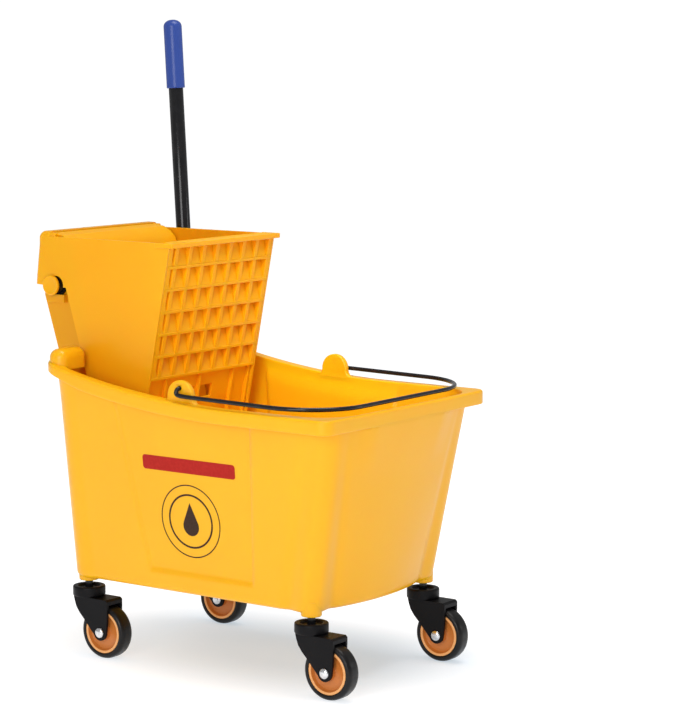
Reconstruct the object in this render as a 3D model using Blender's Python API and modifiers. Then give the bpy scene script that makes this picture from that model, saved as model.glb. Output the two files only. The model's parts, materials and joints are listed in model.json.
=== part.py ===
"""Janitor's mop bucket on four swivel casters, with a side-press wringer hung on its rear rim.

Metres, +Z up. The bucket pours towards +X and the wringer stands over its rear end, at -X.
The origin is on the floor under the middle of the whole object.
"""
import math

import bmesh
import bpy
from mathutils import Matrix, Vector

# ---------------------------------------------------------------- driving dimensions
GAP = 0.0003                 # clearance between pieces that touch
WALL = 0.0035                # moulded plastic wall

# Bucket: outlines are (rear x, front x, half width, rear radius, front radius, front bow)
BUCKET_BOTTOM_Z = 0.1125
BUCKET_FLOOR_Z = 0.1165
RIM_Z = 0.380                # rim height over the front half
BOTTOM_OUTLINE = (-0.198, 0.242, 0.145, 0.036, 0.060, 0.030)
TOP_OUTLINE = (-0.2085, 0.2815, 0.1740, 0.040, 0.055, 0.004)
RIM_OUTLINE = (-0.213, 0.284, 0.1895, 0.030, 0.016, 0.003)
RIM_RISE = 0.042             # how far the rim climbs from RIM_RISE_START_X to the rear
RIM_RISE_START_X = 0.120
RIM_RISE_RUN = 0.330
LIP_DEPTH = 0.0195           # height of the rolled lip's face
LIP_REAR_DEPTH = 0.0130      # the same along the rear end
LIP_TAPER_X = (-0.205, -0.130)       # where the face grows from the one to the other
LIP_THICKNESS = 0.0032
LIP_FADE_WIDTH = 0.005       # overhang below which the lip's hollow closes
BOTTOM_EDGE = 0.008
LEG_RADIUS = 0.014
LEG_BOTTOM_Z = 0.108
LEG_TOP_Z = 0.162
PAD_TOP_Z = 0.438            # corner pads that steer the wringer on to the rear rim
EAR_X = 0.030
EAR_RADIUS = 0.0215
EAR_Z = 0.391
BAIL_Z = 0.402
BAIL_RADIUS = 0.003
BAIL_HOLE_RADIUS = 0.0038

# Casters
STEM_X = (0.214, -0.177)
STEM_Y = 0.1315
TRAIL = 0.033                # axle's distance behind the swivel axis
WHEEL_RADIUS = 0.038
STEM_RADIUS = 0.0055
CAP_RADIUS = 0.023
CAP_TOP_Z = 0.100
CROWN_TOP_Z = 0.0855
CROWN_UNDER_Z = 0.0776
FORK_HALF_WIDTH = 0.0165
SLOT_HALF_WIDTH = 0.0128
AXLE_RADIUS = 0.0039

# Wringer
BOX_HALF_WIDTH = 0.118
BOX_WALL = 0.004
FRONT_TOP = (-0.036, 0.588)
FRONT_FOOT = (-0.074, 0.395)
BOX_BOTTOM_Z = 0.320
REAR_UPPER = (-0.226, 0.517)
REAR_LOWER = (-0.166, 0.320)
HOOD_REAR_X = -0.285
HOOD_TOP = (-0.270, 0.597)
HOOD_SKIRT_Z = 0.5195
HOOD_LIP_X = -0.256
GRID_DEPTH = 0.013
GRID_POCKET = 0.0095         # depth of a pocket
GRID_ROWS = 6
GRID_COLUMNS = 7
GRID_RIB = 0.0035
CHEEK_INNER_Y = 0.100
CHEEK_OUTER_Y = 0.104
HOOK_BOTTOM_Z = 0.400

# Squeezing gear
SHAFT = (-0.252, 0.5195)     # x, z of the cross shaft's axis
SHAFT_RADIUS = 0.0125
BUSH_RADIUS = 0.0152
PLATE_PIN = (-0.158, 0.334)  # x, z of the press plate's hinge axis
PIN_RADIUS = 0.0040
PLATE_HEAD = (-0.2135, 0.565)
PLATE_HALF_WIDTH = 0.1115
ARM_LENGTH = 0.058
ARM_REST_ANGLE = math.radians(-19)   # from vertical, forward positive
LEVER_STROKE = math.radians(85)
PLATE_RATIO = 0.15           # press plate's turn for one turn of the lever
ROLLER_RADIUS = 0.0065
ROLLER_PIN_RADIUS = 0.0025
RIB_Y = (0.056, 0.062)
ARM_Y = (0.066, 0.072)

# Lever
LEVER_Y = 0.150
LEVER_FOOT = (-0.2275, 0.506)        # x, z of the tube's lower end
LEVER_LEAN = math.radians(-3.38)
TUBE_RADIUS = 0.01075
TUBE_LENGTH = 0.378
GRIP_RADIUS = 0.0135
GRIP_LENGTH = 0.101
GRIP_END = 0.0090            # thickness of the grip's closed end
SLEEVE_RADIUS = 0.0155
SLEEVE_LENGTH = 0.066
CLAMP_RADIUS = 0.0030
SHAFT_END_Y = 0.1360


# ---------------------------------------------------------------- scene and materials
for old in list(bpy.data.objects):
    bpy.data.objects.remove(old, do_unlink=True)


def make_collection(name):
    """New collection in the scene."""
    collection = bpy.data.collections.new(name)
    bpy.context.scene.collection.children.link(collection)
    return collection


MODEL = make_collection("mop_bucket_with_wringer")
CUTTERS = make_collection("cutters")


def make_material(name, colour, roughness, metallic=0.0):
    """Principled material of one plain finish."""
    material = bpy.data.materials.new(name)
    material.use_nodes = True
    shader = material.node_tree.nodes["Principled BSDF"]
    shader.inputs["Base Color"].default_value = (*colour, 1.0)
    shader.inputs["Roughness"].default_value = roughness
    shader.inputs["Metallic"].default_value = metallic
    return material


YELLOW = make_material("yellow_plastic", (0.90, 0.49, 0.03), 0.42)
ORANGE = make_material("orange_plastic", (0.92, 0.38, 0.01), 0.42)
BLACK_PLASTIC = make_material("black_plastic", (0.012, 0.012, 0.013), 0.45)
BLACK_STEEL = make_material("black_coated_steel", (0.010, 0.010, 0.012), 0.22, 0.4)
BLUE_GRIP = make_material("blue_vinyl", (0.015, 0.06, 0.42), 0.30)
COPPER_HUB = make_material("copper_brown_nylon", (0.50, 0.17, 0.05), 0.38)
RUBBER = make_material("black_rubber", (0.010, 0.010, 0.010), 0.55)
ZINC = make_material("zinc_plated_steel", (0.62, 0.62, 0.62), 0.28, 1.0)
SPRING_STEEL = make_material("spring_steel", (0.30, 0.30, 0.31), 0.30, 1.0)


# ---------------------------------------------------------------- modelling helpers
def mesh_object(name, mesh, material=None):
    """Object in the model, or among the cutters when it has no material."""
    obj = bpy.data.objects.new(name, mesh)
    if material is None:
        CUTTERS.objects.link(obj)
        obj.hide_render = True
        obj.display_type = "WIRE"
    else:
        MODEL.objects.link(obj)
        obj.data.materials.append(material)
    return obj


def from_bmesh(name, shape, material=None, smooth=False):
    """Object from a bmesh, with its faces pointing outwards."""
    bmesh.ops.recalc_face_normals(shape, faces=shape.faces)
    mesh = bpy.data.meshes.new(name)
    shape.to_mesh(mesh)
    shape.free()
    if smooth:
        mesh.shade_smooth()
        mesh.set_sharp_from_angle(angle=math.radians(35))
    return mesh_object(name, mesh, material)


def add_box(shape, low, high):
    """Axis-aligned box between two corners, added to a bmesh."""
    size = [h - l for l, h in zip(low, high)]
    centre = [(h + l) / 2 for l, h in zip(low, high)]
    matrix = Matrix.Translation(centre) @ Matrix.Diagonal((*size, 1.0))
    bmesh.ops.create_cube(shape, size=1.0, matrix=matrix)


def add_rod(shape, start, end, radius, end_radius=None, segments=20):
    """Round rod or cone between two points, added to a bmesh."""
    axis = Vector(end) - Vector(start)
    turn = Vector((0, 0, 1)).rotation_difference(axis).to_matrix().to_4x4()
    matrix = Matrix.Translation((Vector(start) + Vector(end)) / 2) @ turn
    bmesh.ops.create_cone(shape, cap_ends=True, segments=segments, radius1=radius,
                          radius2=radius if end_radius is None else end_radius,
                          depth=axis.length, matrix=matrix)


def across_y(place, y_low, y_high, radius):
    """A rod's start, end and radius, along Y through an (x, z) place."""
    return (place[0], y_low, place[1]), (place[0], y_high, place[1]), radius


def box(name, low, high, material=None):
    """Box object between two corners."""
    shape = bmesh.new()
    add_box(shape, low, high)
    return from_bmesh(name, shape, material)


def rods(name, specs, material=None, segments=20):
    """Object of one or more rods, each given as (start, end, radius)."""
    shape = bmesh.new()
    for start, end, radius in specs:
        add_rod(shape, start, end, radius, segments=segments)
    return from_bmesh(name, shape, material, smooth=True)


def loft(name, rings, material):
    """Closed skin over rings with equal numbers of points, capped at both ends."""
    shape = bmesh.new()
    loops = [[shape.verts.new(point) for point in ring] for ring in rings]
    count = len(loops[0])
    for low, high in zip(loops, loops[1:]):
        for i in range(count):
            j = (i + 1) % count
            shape.faces.new((low[i], low[j], high[j], high[i]))
    shape.faces.new(list(reversed(loops[0])))
    shape.faces.new(loops[-1])
    return from_bmesh(name, shape, material, smooth=True)


def turned(name, profile, material, location, axis="Y", steps=24, closed=True, lean=0.0):
    """Shape turned from (radius, height) points: a ring when closed, else with both ends on the axis."""
    pairs = zip(profile, profile[1:] + profile[:1])
    area = sum(r0 * h1 - r1 * h0 for (r0, h0), (r1, h1) in pairs)
    if area > 0:      # the outer side has to run downwards for the faces to point out
        profile = profile[::-1]
    shape = bmesh.new()
    points = [shape.verts.new((radius, 0, height)) for radius, height in profile]
    for first, second in zip(points, points[1:]):
        shape.edges.new((first, second))
    if closed:
        shape.edges.new((points[-1], points[0]))
    mesh = bpy.data.meshes.new(name)
    shape.to_mesh(mesh)
    shape.free()
    obj = mesh_object(name, mesh, material)
    obj.location = location
    obj.rotation_euler = (math.radians(90), 0, 0) if axis == "Y" else (0, lean, 0)
    screw = obj.modifiers.new("turn", "SCREW")
    screw.angle = math.radians(360)
    screw.steps = steps
    screw.render_steps = steps
    screw.use_merge_vertices = True
    screw.merge_threshold = 0.00001
    return obj


def curve_to_mesh(curve_object, material=None):
    """Replace a curve by a mesh object with welded caps."""
    bpy.context.view_layer.update()
    depsgraph = bpy.context.evaluated_depsgraph_get()
    mesh = bpy.data.meshes.new_from_object(curve_object.evaluated_get(depsgraph))
    shape = bmesh.new()
    shape.from_mesh(mesh)
    bmesh.ops.remove_doubles(shape, verts=shape.verts, dist=0.00001)
    bmesh.ops.recalc_face_normals(shape, faces=shape.faces)
    shape.to_mesh(mesh)
    shape.free()
    name = curve_object.name
    matrix = curve_object.matrix_world.copy()
    bpy.data.objects.remove(curve_object, do_unlink=True)
    mesh.materials.clear()
    obj = mesh_object(name, mesh, material)
    obj.name = name
    obj.matrix_world = matrix
    return obj


def plate(name, outline, y_low, y_high, material=None):
    """Flat plate from an outline of (x, z) points, standing between two y values."""
    data = bpy.data.curves.new(name, "CURVE")
    data.dimensions = "2D"
    data.fill_mode = "BOTH"
    data.extrude = abs(y_high - y_low) / 2
    spline = data.splines.new("POLY")
    spline.points.add(len(outline) - 1)
    for point, (x, z) in zip(spline.points, outline):
        point.co = (x, z, 0, 1)
    spline.use_cyclic_u = True
    obj = bpy.data.objects.new(name, data)
    MODEL.objects.link(obj)
    obj.location = (0, (y_low + y_high) / 2, 0)
    obj.rotation_euler = (math.radians(90), 0, 0)
    return curve_to_mesh(obj, material)


def wire(name, points, radius, material, resolution=1):
    """Round wire along a list of points."""
    data = bpy.data.curves.new(name, "CURVE")
    data.dimensions = "3D"
    data.bevel_depth = radius
    data.bevel_resolution = resolution
    data.use_fill_caps = True
    spline = data.splines.new("POLY")
    spline.points.add(len(points) - 1)
    for point, place in zip(spline.points, points):
        point.co = (*place, 1)
    obj = bpy.data.objects.new(name, data)
    MODEL.objects.link(obj)
    obj = curve_to_mesh(obj, material)
    obj.data.shade_smooth()
    obj.data.set_sharp_from_angle(angle=math.radians(50))
    return obj


def combine(target, other, operation):
    """Boolean modifier on the target with another object."""
    modifier = target.modifiers.new(operation.lower(), "BOOLEAN")
    modifier.operation = operation
    modifier.object = other
    modifier.solver = "EXACT"
    other.hide_render = True
    other.display_type = "WIRE"
    for collection in list(other.users_collection):
        collection.objects.unlink(other)
    CUTTERS.objects.link(other)


def cut(target, other):
    """Take the other shape away from the target."""
    combine(target, other, "DIFFERENCE")


def join(target, other):
    """Add the other shape to the target."""
    combine(target, other, "UNION")


def pivot(name, location, parent=None):
    """Empty on a joint's axis."""
    empty = bpy.data.objects.new(name, None)
    MODEL.objects.link(empty)
    empty.empty_display_size = 0.02
    if parent is not None:
        empty.parent = parent
        location = Vector(location) - Vector(parent["place"])
    empty["place"] = tuple(location if parent is None else location + Vector(parent["place"]))
    empty.location = location
    return empty


def attach(empty, *objects):
    """Parent objects to a pivot without moving them."""
    for obj in objects:
        obj.parent = empty
        obj.matrix_parent_inverse = Matrix.Translation(empty["place"]).inverted()


def arc(centre, radius, start, end, count):
    """Points on an arc in a plane, angles in degrees."""
    angles = [math.radians(start + (end - start) * i / count) for i in range(count + 1)]
    return [(centre[0] + radius * math.cos(a), centre[1] + radius * math.sin(a)) for a in angles]


def turn_about(point, centre, angle):
    """Turn an (x, z) point about a centre; positive turns the top towards +x."""
    x, z = point[0] - centre[0], point[1] - centre[1]
    return (centre[0] + x * math.cos(angle) + z * math.sin(angle),
            centre[1] - x * math.sin(angle) + z * math.cos(angle))


def line_x(lower, upper, z):
    """x on the line between two (x, z) points at a height."""
    return lower[0] + (upper[0] - lower[0]) * (z - lower[1]) / (upper[1] - lower[1])


def thick_path(points, thickness):
    """Closed outline of a strip: the path, then its offset to the right of its direction."""
    offset = []
    for i, (x, z) in enumerate(points):
        before = points[max(i - 1, 0)]
        after = points[min(i + 1, len(points) - 1)]
        run = Vector((after[0] - before[0], after[1] - before[1])).normalized()
        offset.append((x + run.y * thickness, z - run.x * thickness))
    return points + offset[::-1]


# ---------------------------------------------------------------- bucket
SIDE_STEPS = 8
END_STEPS = 5
CORNER_STEPS = 4


def bucket_outline(rear, front, half, rear_radius, front_radius, bow):
    """Anticlockwise rounded rectangle with a bowed front, always the same number of points."""
    corners = ((front - front_radius, half - front_radius, front_radius, 0, SIDE_STEPS),
               (rear + rear_radius, half - rear_radius, rear_radius, 90, END_STEPS),
               (rear + rear_radius, rear_radius - half, rear_radius, 180, SIDE_STEPS),
               (front - front_radius, front_radius - half, front_radius, 270, END_STEPS))
    points = []
    for i, (x, y, radius, start, steps) in enumerate(corners):
        curve = arc((x, y), radius, start, start + 90, CORNER_STEPS)
        following = corners[(i + 1) % 4]
        first = arc(following[:2], following[2], following[3], following[3] + 90, 1)[0]
        last = curve[-1]
        points += curve
        points += [(last[0] + (first[0] - last[0]) * k / steps,
                    last[1] + (first[1] - last[1]) * k / steps) for k in range(1, steps)]
    return [(x - bow * (y / half) ** 2 * max(x / front, 0) ** 2, y) for x, y in points]


def inset(points, distance):
    """Move each point of a closed outline inwards along its normal."""
    result = []
    for i, (x, y) in enumerate(points):
        before, after = points[i - 1], points[(i + 1) % len(points)]
        run = Vector((after[0] - before[0], after[1] - before[1])).normalized()
        result.append((x - run.y * distance, y + run.x * distance))
    return result


def rim_height(x):
    """Height of the rim's top at a distance along the bucket."""
    climb = max((RIM_RISE_START_X - x) / RIM_RISE_RUN, 0)
    return RIM_Z + RIM_RISE * climb ** 2


def lip_depth(x):
    """Height of the lip's face at a distance along the bucket."""
    start, end = LIP_TAPER_X
    share = min(max((x - start) / (end - start), 0), 1)
    return LIP_REAR_DEPTH + (LIP_DEPTH - LIP_REAR_DEPTH) * share * share * (3 - 2 * share)


def make_bucket():
    """Tapered tub with a rolled lip, four legs, two corner pads and two bail ears."""
    bottom = bucket_outline(*BOTTOM_OUTLINE)
    top = bucket_outline(*TOP_OUTLINE)
    rim = bucket_outline(*RIM_OUTLINE)
    heights = [rim_height(x) for x, _ in rim]
    depths = [lip_depth(x) for x, _ in rim]

    def wall(z_values, depth=0.0):
        """Ring on the tapered wall, one height for each point."""
        ring = []
        for (x0, y0), (x1, y1), z in zip(bottom, top, z_values):
            share = (z - BUCKET_BOTTOM_Z) / (RIM_Z - BUCKET_BOTTOM_Z)
            ring.append((x0 + (x1 - x0) * share, y0 + (y1 - y0) * share))
        return [(x, y, z) for (x, y), z in zip(inset(ring, depth), z_values)]

    count = len(rim)
    neck = wall([h - LIP_THICKNESS for h in heights])
    widths = [math.dist(edge, point[:2]) for edge, point in zip(rim, neck)]
    # The lip's hollow underside fades out where the wall bulges to the rim's edge.
    fades = [min(max((w - LIP_FADE_WIDTH) / LIP_FADE_WIDTH, 0), 1) for w in widths]
    mouth_z = [h - d for h, d in zip(heights, depths)]
    least = 0.0004               # hollow left at the front's middle, so that no ring meets another
    roof_z = [m + least + f * (d - LIP_THICKNESS - least) for m, d, f in zip(mouth_z, depths, fades)]
    skirt = [max(w - LIP_THICKNESS, 2 * least) / w for w in widths]
    mouth = wall(mouth_z)
    roof = wall(roof_z)

    def across(ring, z_values):
        """Points part of the way from the wall to the lip's outer edge."""
        return [(p[0] + (e[0] - p[0]) * s, p[1] + (e[1] - p[1]) * s, z)
                for p, e, s, z in zip(ring, rim, skirt, z_values)]

    rings = [
        [(x, y, BUCKET_BOTTOM_Z) for x, y in inset(bottom, BOTTOM_EDGE)],
        [(x, y, BUCKET_BOTTOM_Z + 0.0023) for x, y in inset(bottom, 0.0023)],
        wall([BUCKET_BOTTOM_Z + BOTTOM_EDGE] * count),
        mouth,
        roof,
        across(roof, roof_z),
        across(mouth, mouth_z),
        [(x, y, z) for (x, y), z in zip(rim, mouth_z)],
        [(x, y, z) for (x, y), z in zip(rim, heights)],
        wall(heights, WALL),
        wall([BUCKET_FLOOR_Z + BOTTOM_EDGE] * count, WALL),
        [(x, y, BUCKET_FLOOR_Z) for x, y in inset(bottom, WALL + BOTTOM_EDGE / 2)],
    ]
    bucket = loft("bucket_body", rings, YELLOW)

    additions = bmesh.new()
    for x in STEM_X:
        for y in (STEM_Y, -STEM_Y):
            add_rod(additions, (x, y, LEG_BOTTOM_Z), (x, y, LEG_TOP_Z), LEG_RADIUS, segments=16)
    join(bucket, from_bmesh("leg_posts", additions))

    for side in (1, -1):
        pad = bmesh.new()
        y_low, y_high = sorted((side * 0.122, side * 0.184))
        add_box(pad, (-0.2095, y_low, 0.412), (-0.165, y_high, PAD_TOP_Z))
        pad_object = from_bmesh(f"pad_{side}", pad)
        bevel = pad_object.modifiers.new("round", "BEVEL")
        bevel.width = 0.010
        bevel.segments = 2
        join(bucket, pad_object)

        ear_low, ear_high = sorted((side * 0.1705, side * 0.1785))
        crown = arc((EAR_X, EAR_Z), EAR_RADIUS, 0, 180, 10)
        foot_z = RIM_Z - 0.006
        outline = crown + [(EAR_X - EAR_RADIUS - 0.004, foot_z), (EAR_X + EAR_RADIUS + 0.004, foot_z)]
        join(bucket, plate(f"ear_{side}", outline, ear_low, ear_high))

    bores = [((x, y, LEG_BOTTOM_Z - 0.01), (x, y, 0.152), STEM_RADIUS + GAP)
             for x in STEM_X for y in (STEM_Y, -STEM_Y)]
    cut(bucket, rods("stem_bores", bores, segments=16))
    holes = [((EAR_X, side * 0.160, BAIL_Z), (EAR_X, side * 0.195, BAIL_Z), BAIL_HOLE_RADIUS)
             for side in (1, -1)]
    cut(bucket, rods("bail_holes", holes, segments=12))
    return bucket


BAIL_FRONT_X = 0.271
BAIL_SIDE_Y = 0.1845
BAIL_CORNER = 0.088
BAIL_DROP_Z = 0.3925
BAIL_REST_Z = 0.3885
BAIL_INNER_Y = 0.166


def make_bail():
    """Wire handle, lying forward on the front rim and hooked through both ears."""
    half = [(EAR_X, BAIL_INNER_Y, BAIL_Z), (EAR_X, BAIL_SIDE_Y - 0.004, BAIL_Z),
            (EAR_X - 0.0005, BAIL_SIDE_Y - 0.0008, BAIL_Z - 0.002),
            (EAR_X - 0.001, BAIL_SIDE_Y, BAIL_Z - 0.006),
            (EAR_X + 0.001, BAIL_SIDE_Y, BAIL_Z - 0.0095),
            (EAR_X + 0.006, BAIL_SIDE_Y, BAIL_DROP_Z)]
    corner_x = BAIL_FRONT_X - BAIL_CORNER
    bend = arc((corner_x, BAIL_SIDE_Y - BAIL_CORNER), BAIL_CORNER, 90, 0, 10)
    plan = [(EAR_X + 0.07, BAIL_SIDE_Y)] + bend + [(BAIL_FRONT_X, bend[-1][1] / 2)]
    for x, y in plan:
        share = (x - EAR_X) / (BAIL_FRONT_X - EAR_X)
        half.append((x, y, BAIL_DROP_Z + (BAIL_REST_Z - BAIL_DROP_Z) * share))
    middle = [(BAIL_FRONT_X, 0.0, BAIL_REST_Z)]
    path = half + middle + [(x, -y, z) for x, y, z in reversed(half)]
    bail = wire("bail_handle", path, BAIL_RADIUS, BLACK_STEEL)
    attach(pivot("bail_pivot", (EAR_X, 0, BAIL_Z)), bail)
    return bail


# ---------------------------------------------------------------- casters
def fork_outline(x):
    """Side view of a fork: curved leading edge, rounded foot at the axle, shelf over the wheel."""
    axle = (x + TRAIL, WHEEL_RADIUS)
    leading = [(x - 0.015, CROWN_TOP_Z), (x - 0.013, 0.078), (x - 0.010, 0.070), (x - 0.004, 0.062),
               (x + 0.003, 0.055), (x + 0.013, 0.044)]
    foot = arc(axle, 0.0115, 200, 350, 7)
    trailing = [(x + 0.046, 0.052), (x + 0.047, 0.074), (x + 0.047, 0.0830), (x + 0.044, CROWN_TOP_Z)]
    return leading + foot + trailing


def make_caster(name, x, y):
    """One swivel caster trailing towards +X."""
    stem_profile = [(0, 0.0723), (0.0085, 0.0723), (0.0085, 0.0753), (STEM_RADIUS, 0.0753),
                    (STEM_RADIUS, 0.149), (0.0045, 0.150), (0, 0.150)]
    turned(f"{name}_stem", stem_profile, BLACK_STEEL, (x, y, 0), "Z", 16, closed=False)
    swivel = pivot(f"{name}_swivel", (x, y, CAP_TOP_Z))

    base = CROWN_TOP_Z + GAP
    cap_profile = [(CAP_RADIUS - 0.001, base), (CAP_RADIUS, base + 0.004), (CAP_RADIUS, 0.0985),
                   (CAP_RADIUS - 0.0015, CAP_TOP_Z), (0.0155, CAP_TOP_Z), (0.0145, 0.0965),
                   (STEM_RADIUS + 2 * GAP, 0.0965), (STEM_RADIUS + 2 * GAP, base)]
    cap = turned(f"{name}_swivel_cap", cap_profile, BLACK_PLASTIC, (x, y, 0), "Z", 16)

    fork = plate(f"{name}_fork", fork_outline(x), y - FORK_HALF_WIDTH, y + FORK_HALF_WIDTH,
                 BLACK_PLASTIC)
    slot = box(f"{name}_wheel_slot", (x - 0.0005, y - SLOT_HALF_WIDTH, 0.0),
               (x + 0.060, y + SLOT_HALF_WIDTH, CROWN_UNDER_Z))
    cut(fork, slot)
    axle = (x + TRAIL, y, WHEEL_RADIUS)
    stem_bore = ((x, y, CROWN_UNDER_Z - 0.010), (x, y, CROWN_TOP_Z + 0.010), STEM_RADIUS + 2 * GAP)
    axle_bore = across_y(axle[::2], y - 0.030, y + 0.030, AXLE_RADIUS + GAP)
    cut(fork, rods(f"{name}_fork_bores", [stem_bore, axle_bore], segments=12))
    # The stem's lower rivet turns in a pocket that opens into the wheel slot.
    pocket = rods(f"{name}_rivet_pocket", [((x, y, 0.050), (x, y, 0.0757), 0.0095)], segments=12)
    cut(fork, pocket)

    bolt_profile = [(0, -0.0205), (0.0035, -0.0202), (0.0060, -0.0188), (0.0060, -0.0168),
                    (AXLE_RADIUS, -0.0168), (AXLE_RADIUS, 0.0222), (0, 0.0222)]
    bolt = turned(f"{name}_axle_bolt", [(r, -h) for r, h in bolt_profile], ZINC, axle, "Y", 14,
                  closed=False)
    nut = rods(f"{name}_axle_nut", [across_y(axle[::2], y + 0.0168, y + 0.0215, 0.0070)], ZINC,
               segments=6)
    nut_bore = across_y(axle[::2], y + 0.010, y + 0.030, AXLE_RADIUS + GAP)
    cut(nut, rods(f"{name}_nut_bore", [nut_bore], segments=14))

    bore = AXLE_RADIUS + GAP
    half_hub = [(0.0272, 0.0105), (0.0225, 0.0105), (0.0212, 0.0050), (0.0105, 0.0050),
                (0.0090, 0.0122), (bore, 0.0122)]
    hub_profile = half_hub + [(r, -h) for r, h in reversed(half_hub)]
    hub = turned(f"{name}_hub", hub_profile, COPPER_HUB, axle, "Y", 16)
    half_tyre = [(0.0275, 0.0108), (0.0315, 0.0118), (0.0358, 0.0108), (WHEEL_RADIUS, 0.0070)]
    tyre_profile = half_tyre + [(r, -h) for r, h in reversed(half_tyre)]
    tyre = turned(f"{name}_tyre", tyre_profile, RUBBER, axle, "Y", 24)

    attach(swivel, cap, fork, bolt, nut)
    attach(pivot(f"{name}_wheel", axle, swivel), hub, tyre)


# ---------------------------------------------------------------- wringer box
THROUGH = 0.130              # half length of a cutter that goes right across the wringer
FRONT_ANGLE = math.atan2(FRONT_TOP[0] - FRONT_FOOT[0], FRONT_TOP[1] - FRONT_FOOT[1])
FRONT_LENGTH = math.dist(FRONT_TOP, FRONT_FOOT)
PANEL_HALF_WIDTH = BOX_HALF_WIDTH - BOX_WALL - GAP


def hood_path():
    """Outer line of the hood from its skirt's edge over the top to its front lip."""
    return ([(HOOD_REAR_X, HOOD_SKIRT_Z)]
            + arc((HOOD_TOP[0] - 0.001, HOOD_TOP[1] - 0.0125), 0.0125, 175, 90, 5)
            + [(HOOD_LIP_X, HOOD_TOP[1] - 0.0005)])


def make_housing():
    """Two side walls, the hood over the gear and the chute's rear wall, moulded in one."""
    front_bottom = (line_x(FRONT_FOOT, FRONT_TOP, BOX_BOTTOM_Z), BOX_BOTTOM_Z)
    hood = hood_path()
    outline = hood[:-1] + [FRONT_TOP, front_bottom, REAR_LOWER, REAR_UPPER]
    inner = BOX_HALF_WIDTH - BOX_WALL
    housing = plate("wringer_housing", outline, -BOX_HALF_WIDTH, -inner, YELLOW)
    join(housing, plate("far_side", outline, inner, BOX_HALF_WIDTH))
    reach = inner + 0.001
    join(housing, plate("hood_skin", thick_path(hood, BOX_WALL), -reach, reach))
    wall_top = (line_x(REAR_LOWER, REAR_UPPER, 0.494), 0.494)
    join(housing, plate("chute_rear", thick_path([REAR_LOWER, wall_top], WALL), -reach, reach))
    shaft_notch = across_y(SHAFT, -THROUGH, THROUGH, SHAFT_RADIUS + 3 * GAP)
    cut(housing, rods("shaft_notch", [shaft_notch], segments=24))
    cut(housing, rods("pin_holes", [across_y(PLATE_PIN, -THROUGH, THROUGH, PIN_RADIUS + GAP)],
                      segments=12))
    return housing


def set_on_front(*objects):
    """Place objects modelled flat on the sloping front: x outwards, z up the slope."""
    for obj in objects:
        obj.location = (FRONT_FOOT[0], 0, FRONT_FOOT[1])
        obj.rotation_euler = (0, FRONT_ANGLE, 0)


def make_grid():
    """Front grid: a plate with six rows of pockets, each with a drain hole."""
    grid = box("front_grid", (-GRID_DEPTH, -PANEL_HALF_WIDTH, GAP),
               (0, PANEL_HALF_WIDTH, FRONT_LENGTH - 0.001), ORANGE)
    row_pitch = (FRONT_LENGTH - 0.001 - GRID_RIB) / GRID_ROWS
    column_pitch = (2 * PANEL_HALF_WIDTH - GRID_RIB) / GRID_COLUMNS
    pockets = bmesh.new()
    drains = bmesh.new()
    for row in range(GRID_ROWS):
        for column in range(GRID_COLUMNS):
            y = -PANEL_HALF_WIDTH + GRID_RIB + column * column_pitch
            z = GRID_RIB + row * row_pitch
            y_end = y + column_pitch - GRID_RIB
            z_end = z + row_pitch - GRID_RIB
            add_box(pockets, (-GRID_POCKET, y, z), (0.010, y_end, z_end))
            add_box(drains, (-0.020, y + 0.008, z_end - 0.0095), (-0.005, y_end - 0.008, z_end - 0.0025))
    pocket_cutter = from_bmesh("grid_pockets", pockets)
    drain_cutter = from_bmesh("grid_drains", drains)
    cut(grid, pocket_cutter)
    cut(grid, drain_cutter)
    set_on_front(grid, pocket_cutter, drain_cutter)
    return grid


def make_lower_panel():
    """Plain front of the chute below the grid, with two windows and upright ribs."""
    low = -(FRONT_FOOT[1] - BOX_BOTTOM_Z) / math.cos(FRONT_ANGLE) + 0.004
    panel = box("lower_front_panel", (-GRID_DEPTH, -PANEL_HALF_WIDTH, low),
                (-0.0085, PANEL_HALF_WIDTH, -GAP), ORANGE)
    ribs = bmesh.new()
    for y in (-0.112, -0.076, -0.0015, 0.073, 0.109):
        add_box(ribs, (-0.0095, y, low), (-0.003, y + 0.003, -GAP))
    rib_object = from_bmesh("panel_ribs", ribs)
    windows = bmesh.new()
    for y in (-0.036, 0.003):
        add_box(windows, (-0.020, y, -0.040), (0.001, y + 0.033, -0.021))
    window_cutter = from_bmesh("panel_windows", windows)
    join(panel, rib_object)
    cut(panel, window_cutter)
    set_on_front(panel, rib_object, window_cutter)
    return panel


def make_collar():
    """Lip that stands proud of the front's top edge and wraps on to both sides."""
    low, high = FRONT_TOP[1] - 0.0065, FRONT_TOP[1] + 0.0005
    reach = BOX_HALF_WIDTH + 0.0030
    collar = box("front_collar", (FRONT_TOP[0] - 0.025, -reach, low),
                 (FRONT_TOP[0] + 0.0075, reach, high), YELLOW)
    space_low = (FRONT_TOP[0] - 0.1, -BOX_HALF_WIDTH - GAP, low - 0.01)
    space_high = (FRONT_TOP[0] + GAP, BOX_HALF_WIDTH + GAP, high + 0.01)
    cut(collar, box("collar_space", space_low, space_high))
    return collar


def make_drain_grate():
    """Slotted floor of the chute."""
    front_x = line_x(FRONT_FOOT, FRONT_TOP, BOX_BOTTOM_Z) - 0.0145
    rear_x = REAR_LOWER[0] + WALL + 0.0010
    grate = box("drain_grate", (rear_x, -PANEL_HALF_WIDTH, BOX_BOTTOM_Z),
                (front_x, PANEL_HALF_WIDTH, BOX_BOTTOM_Z + WALL), ORANGE)
    slots = bmesh.new()
    count, slot_width = 9, 0.012
    pitch = 2 * PANEL_HALF_WIDTH / (count + 0.28)
    for i in range(count):
        y = (i - (count - 1) / 2) * pitch - slot_width / 2
        add_box(slots, (rear_x + 0.022, y, BOX_BOTTOM_Z - 0.01),
                (front_x - 0.008, y + slot_width, BOX_BOTTOM_Z + 0.01))
    cut(grate, from_bmesh("grate_slots", slots))
    return grate


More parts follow.
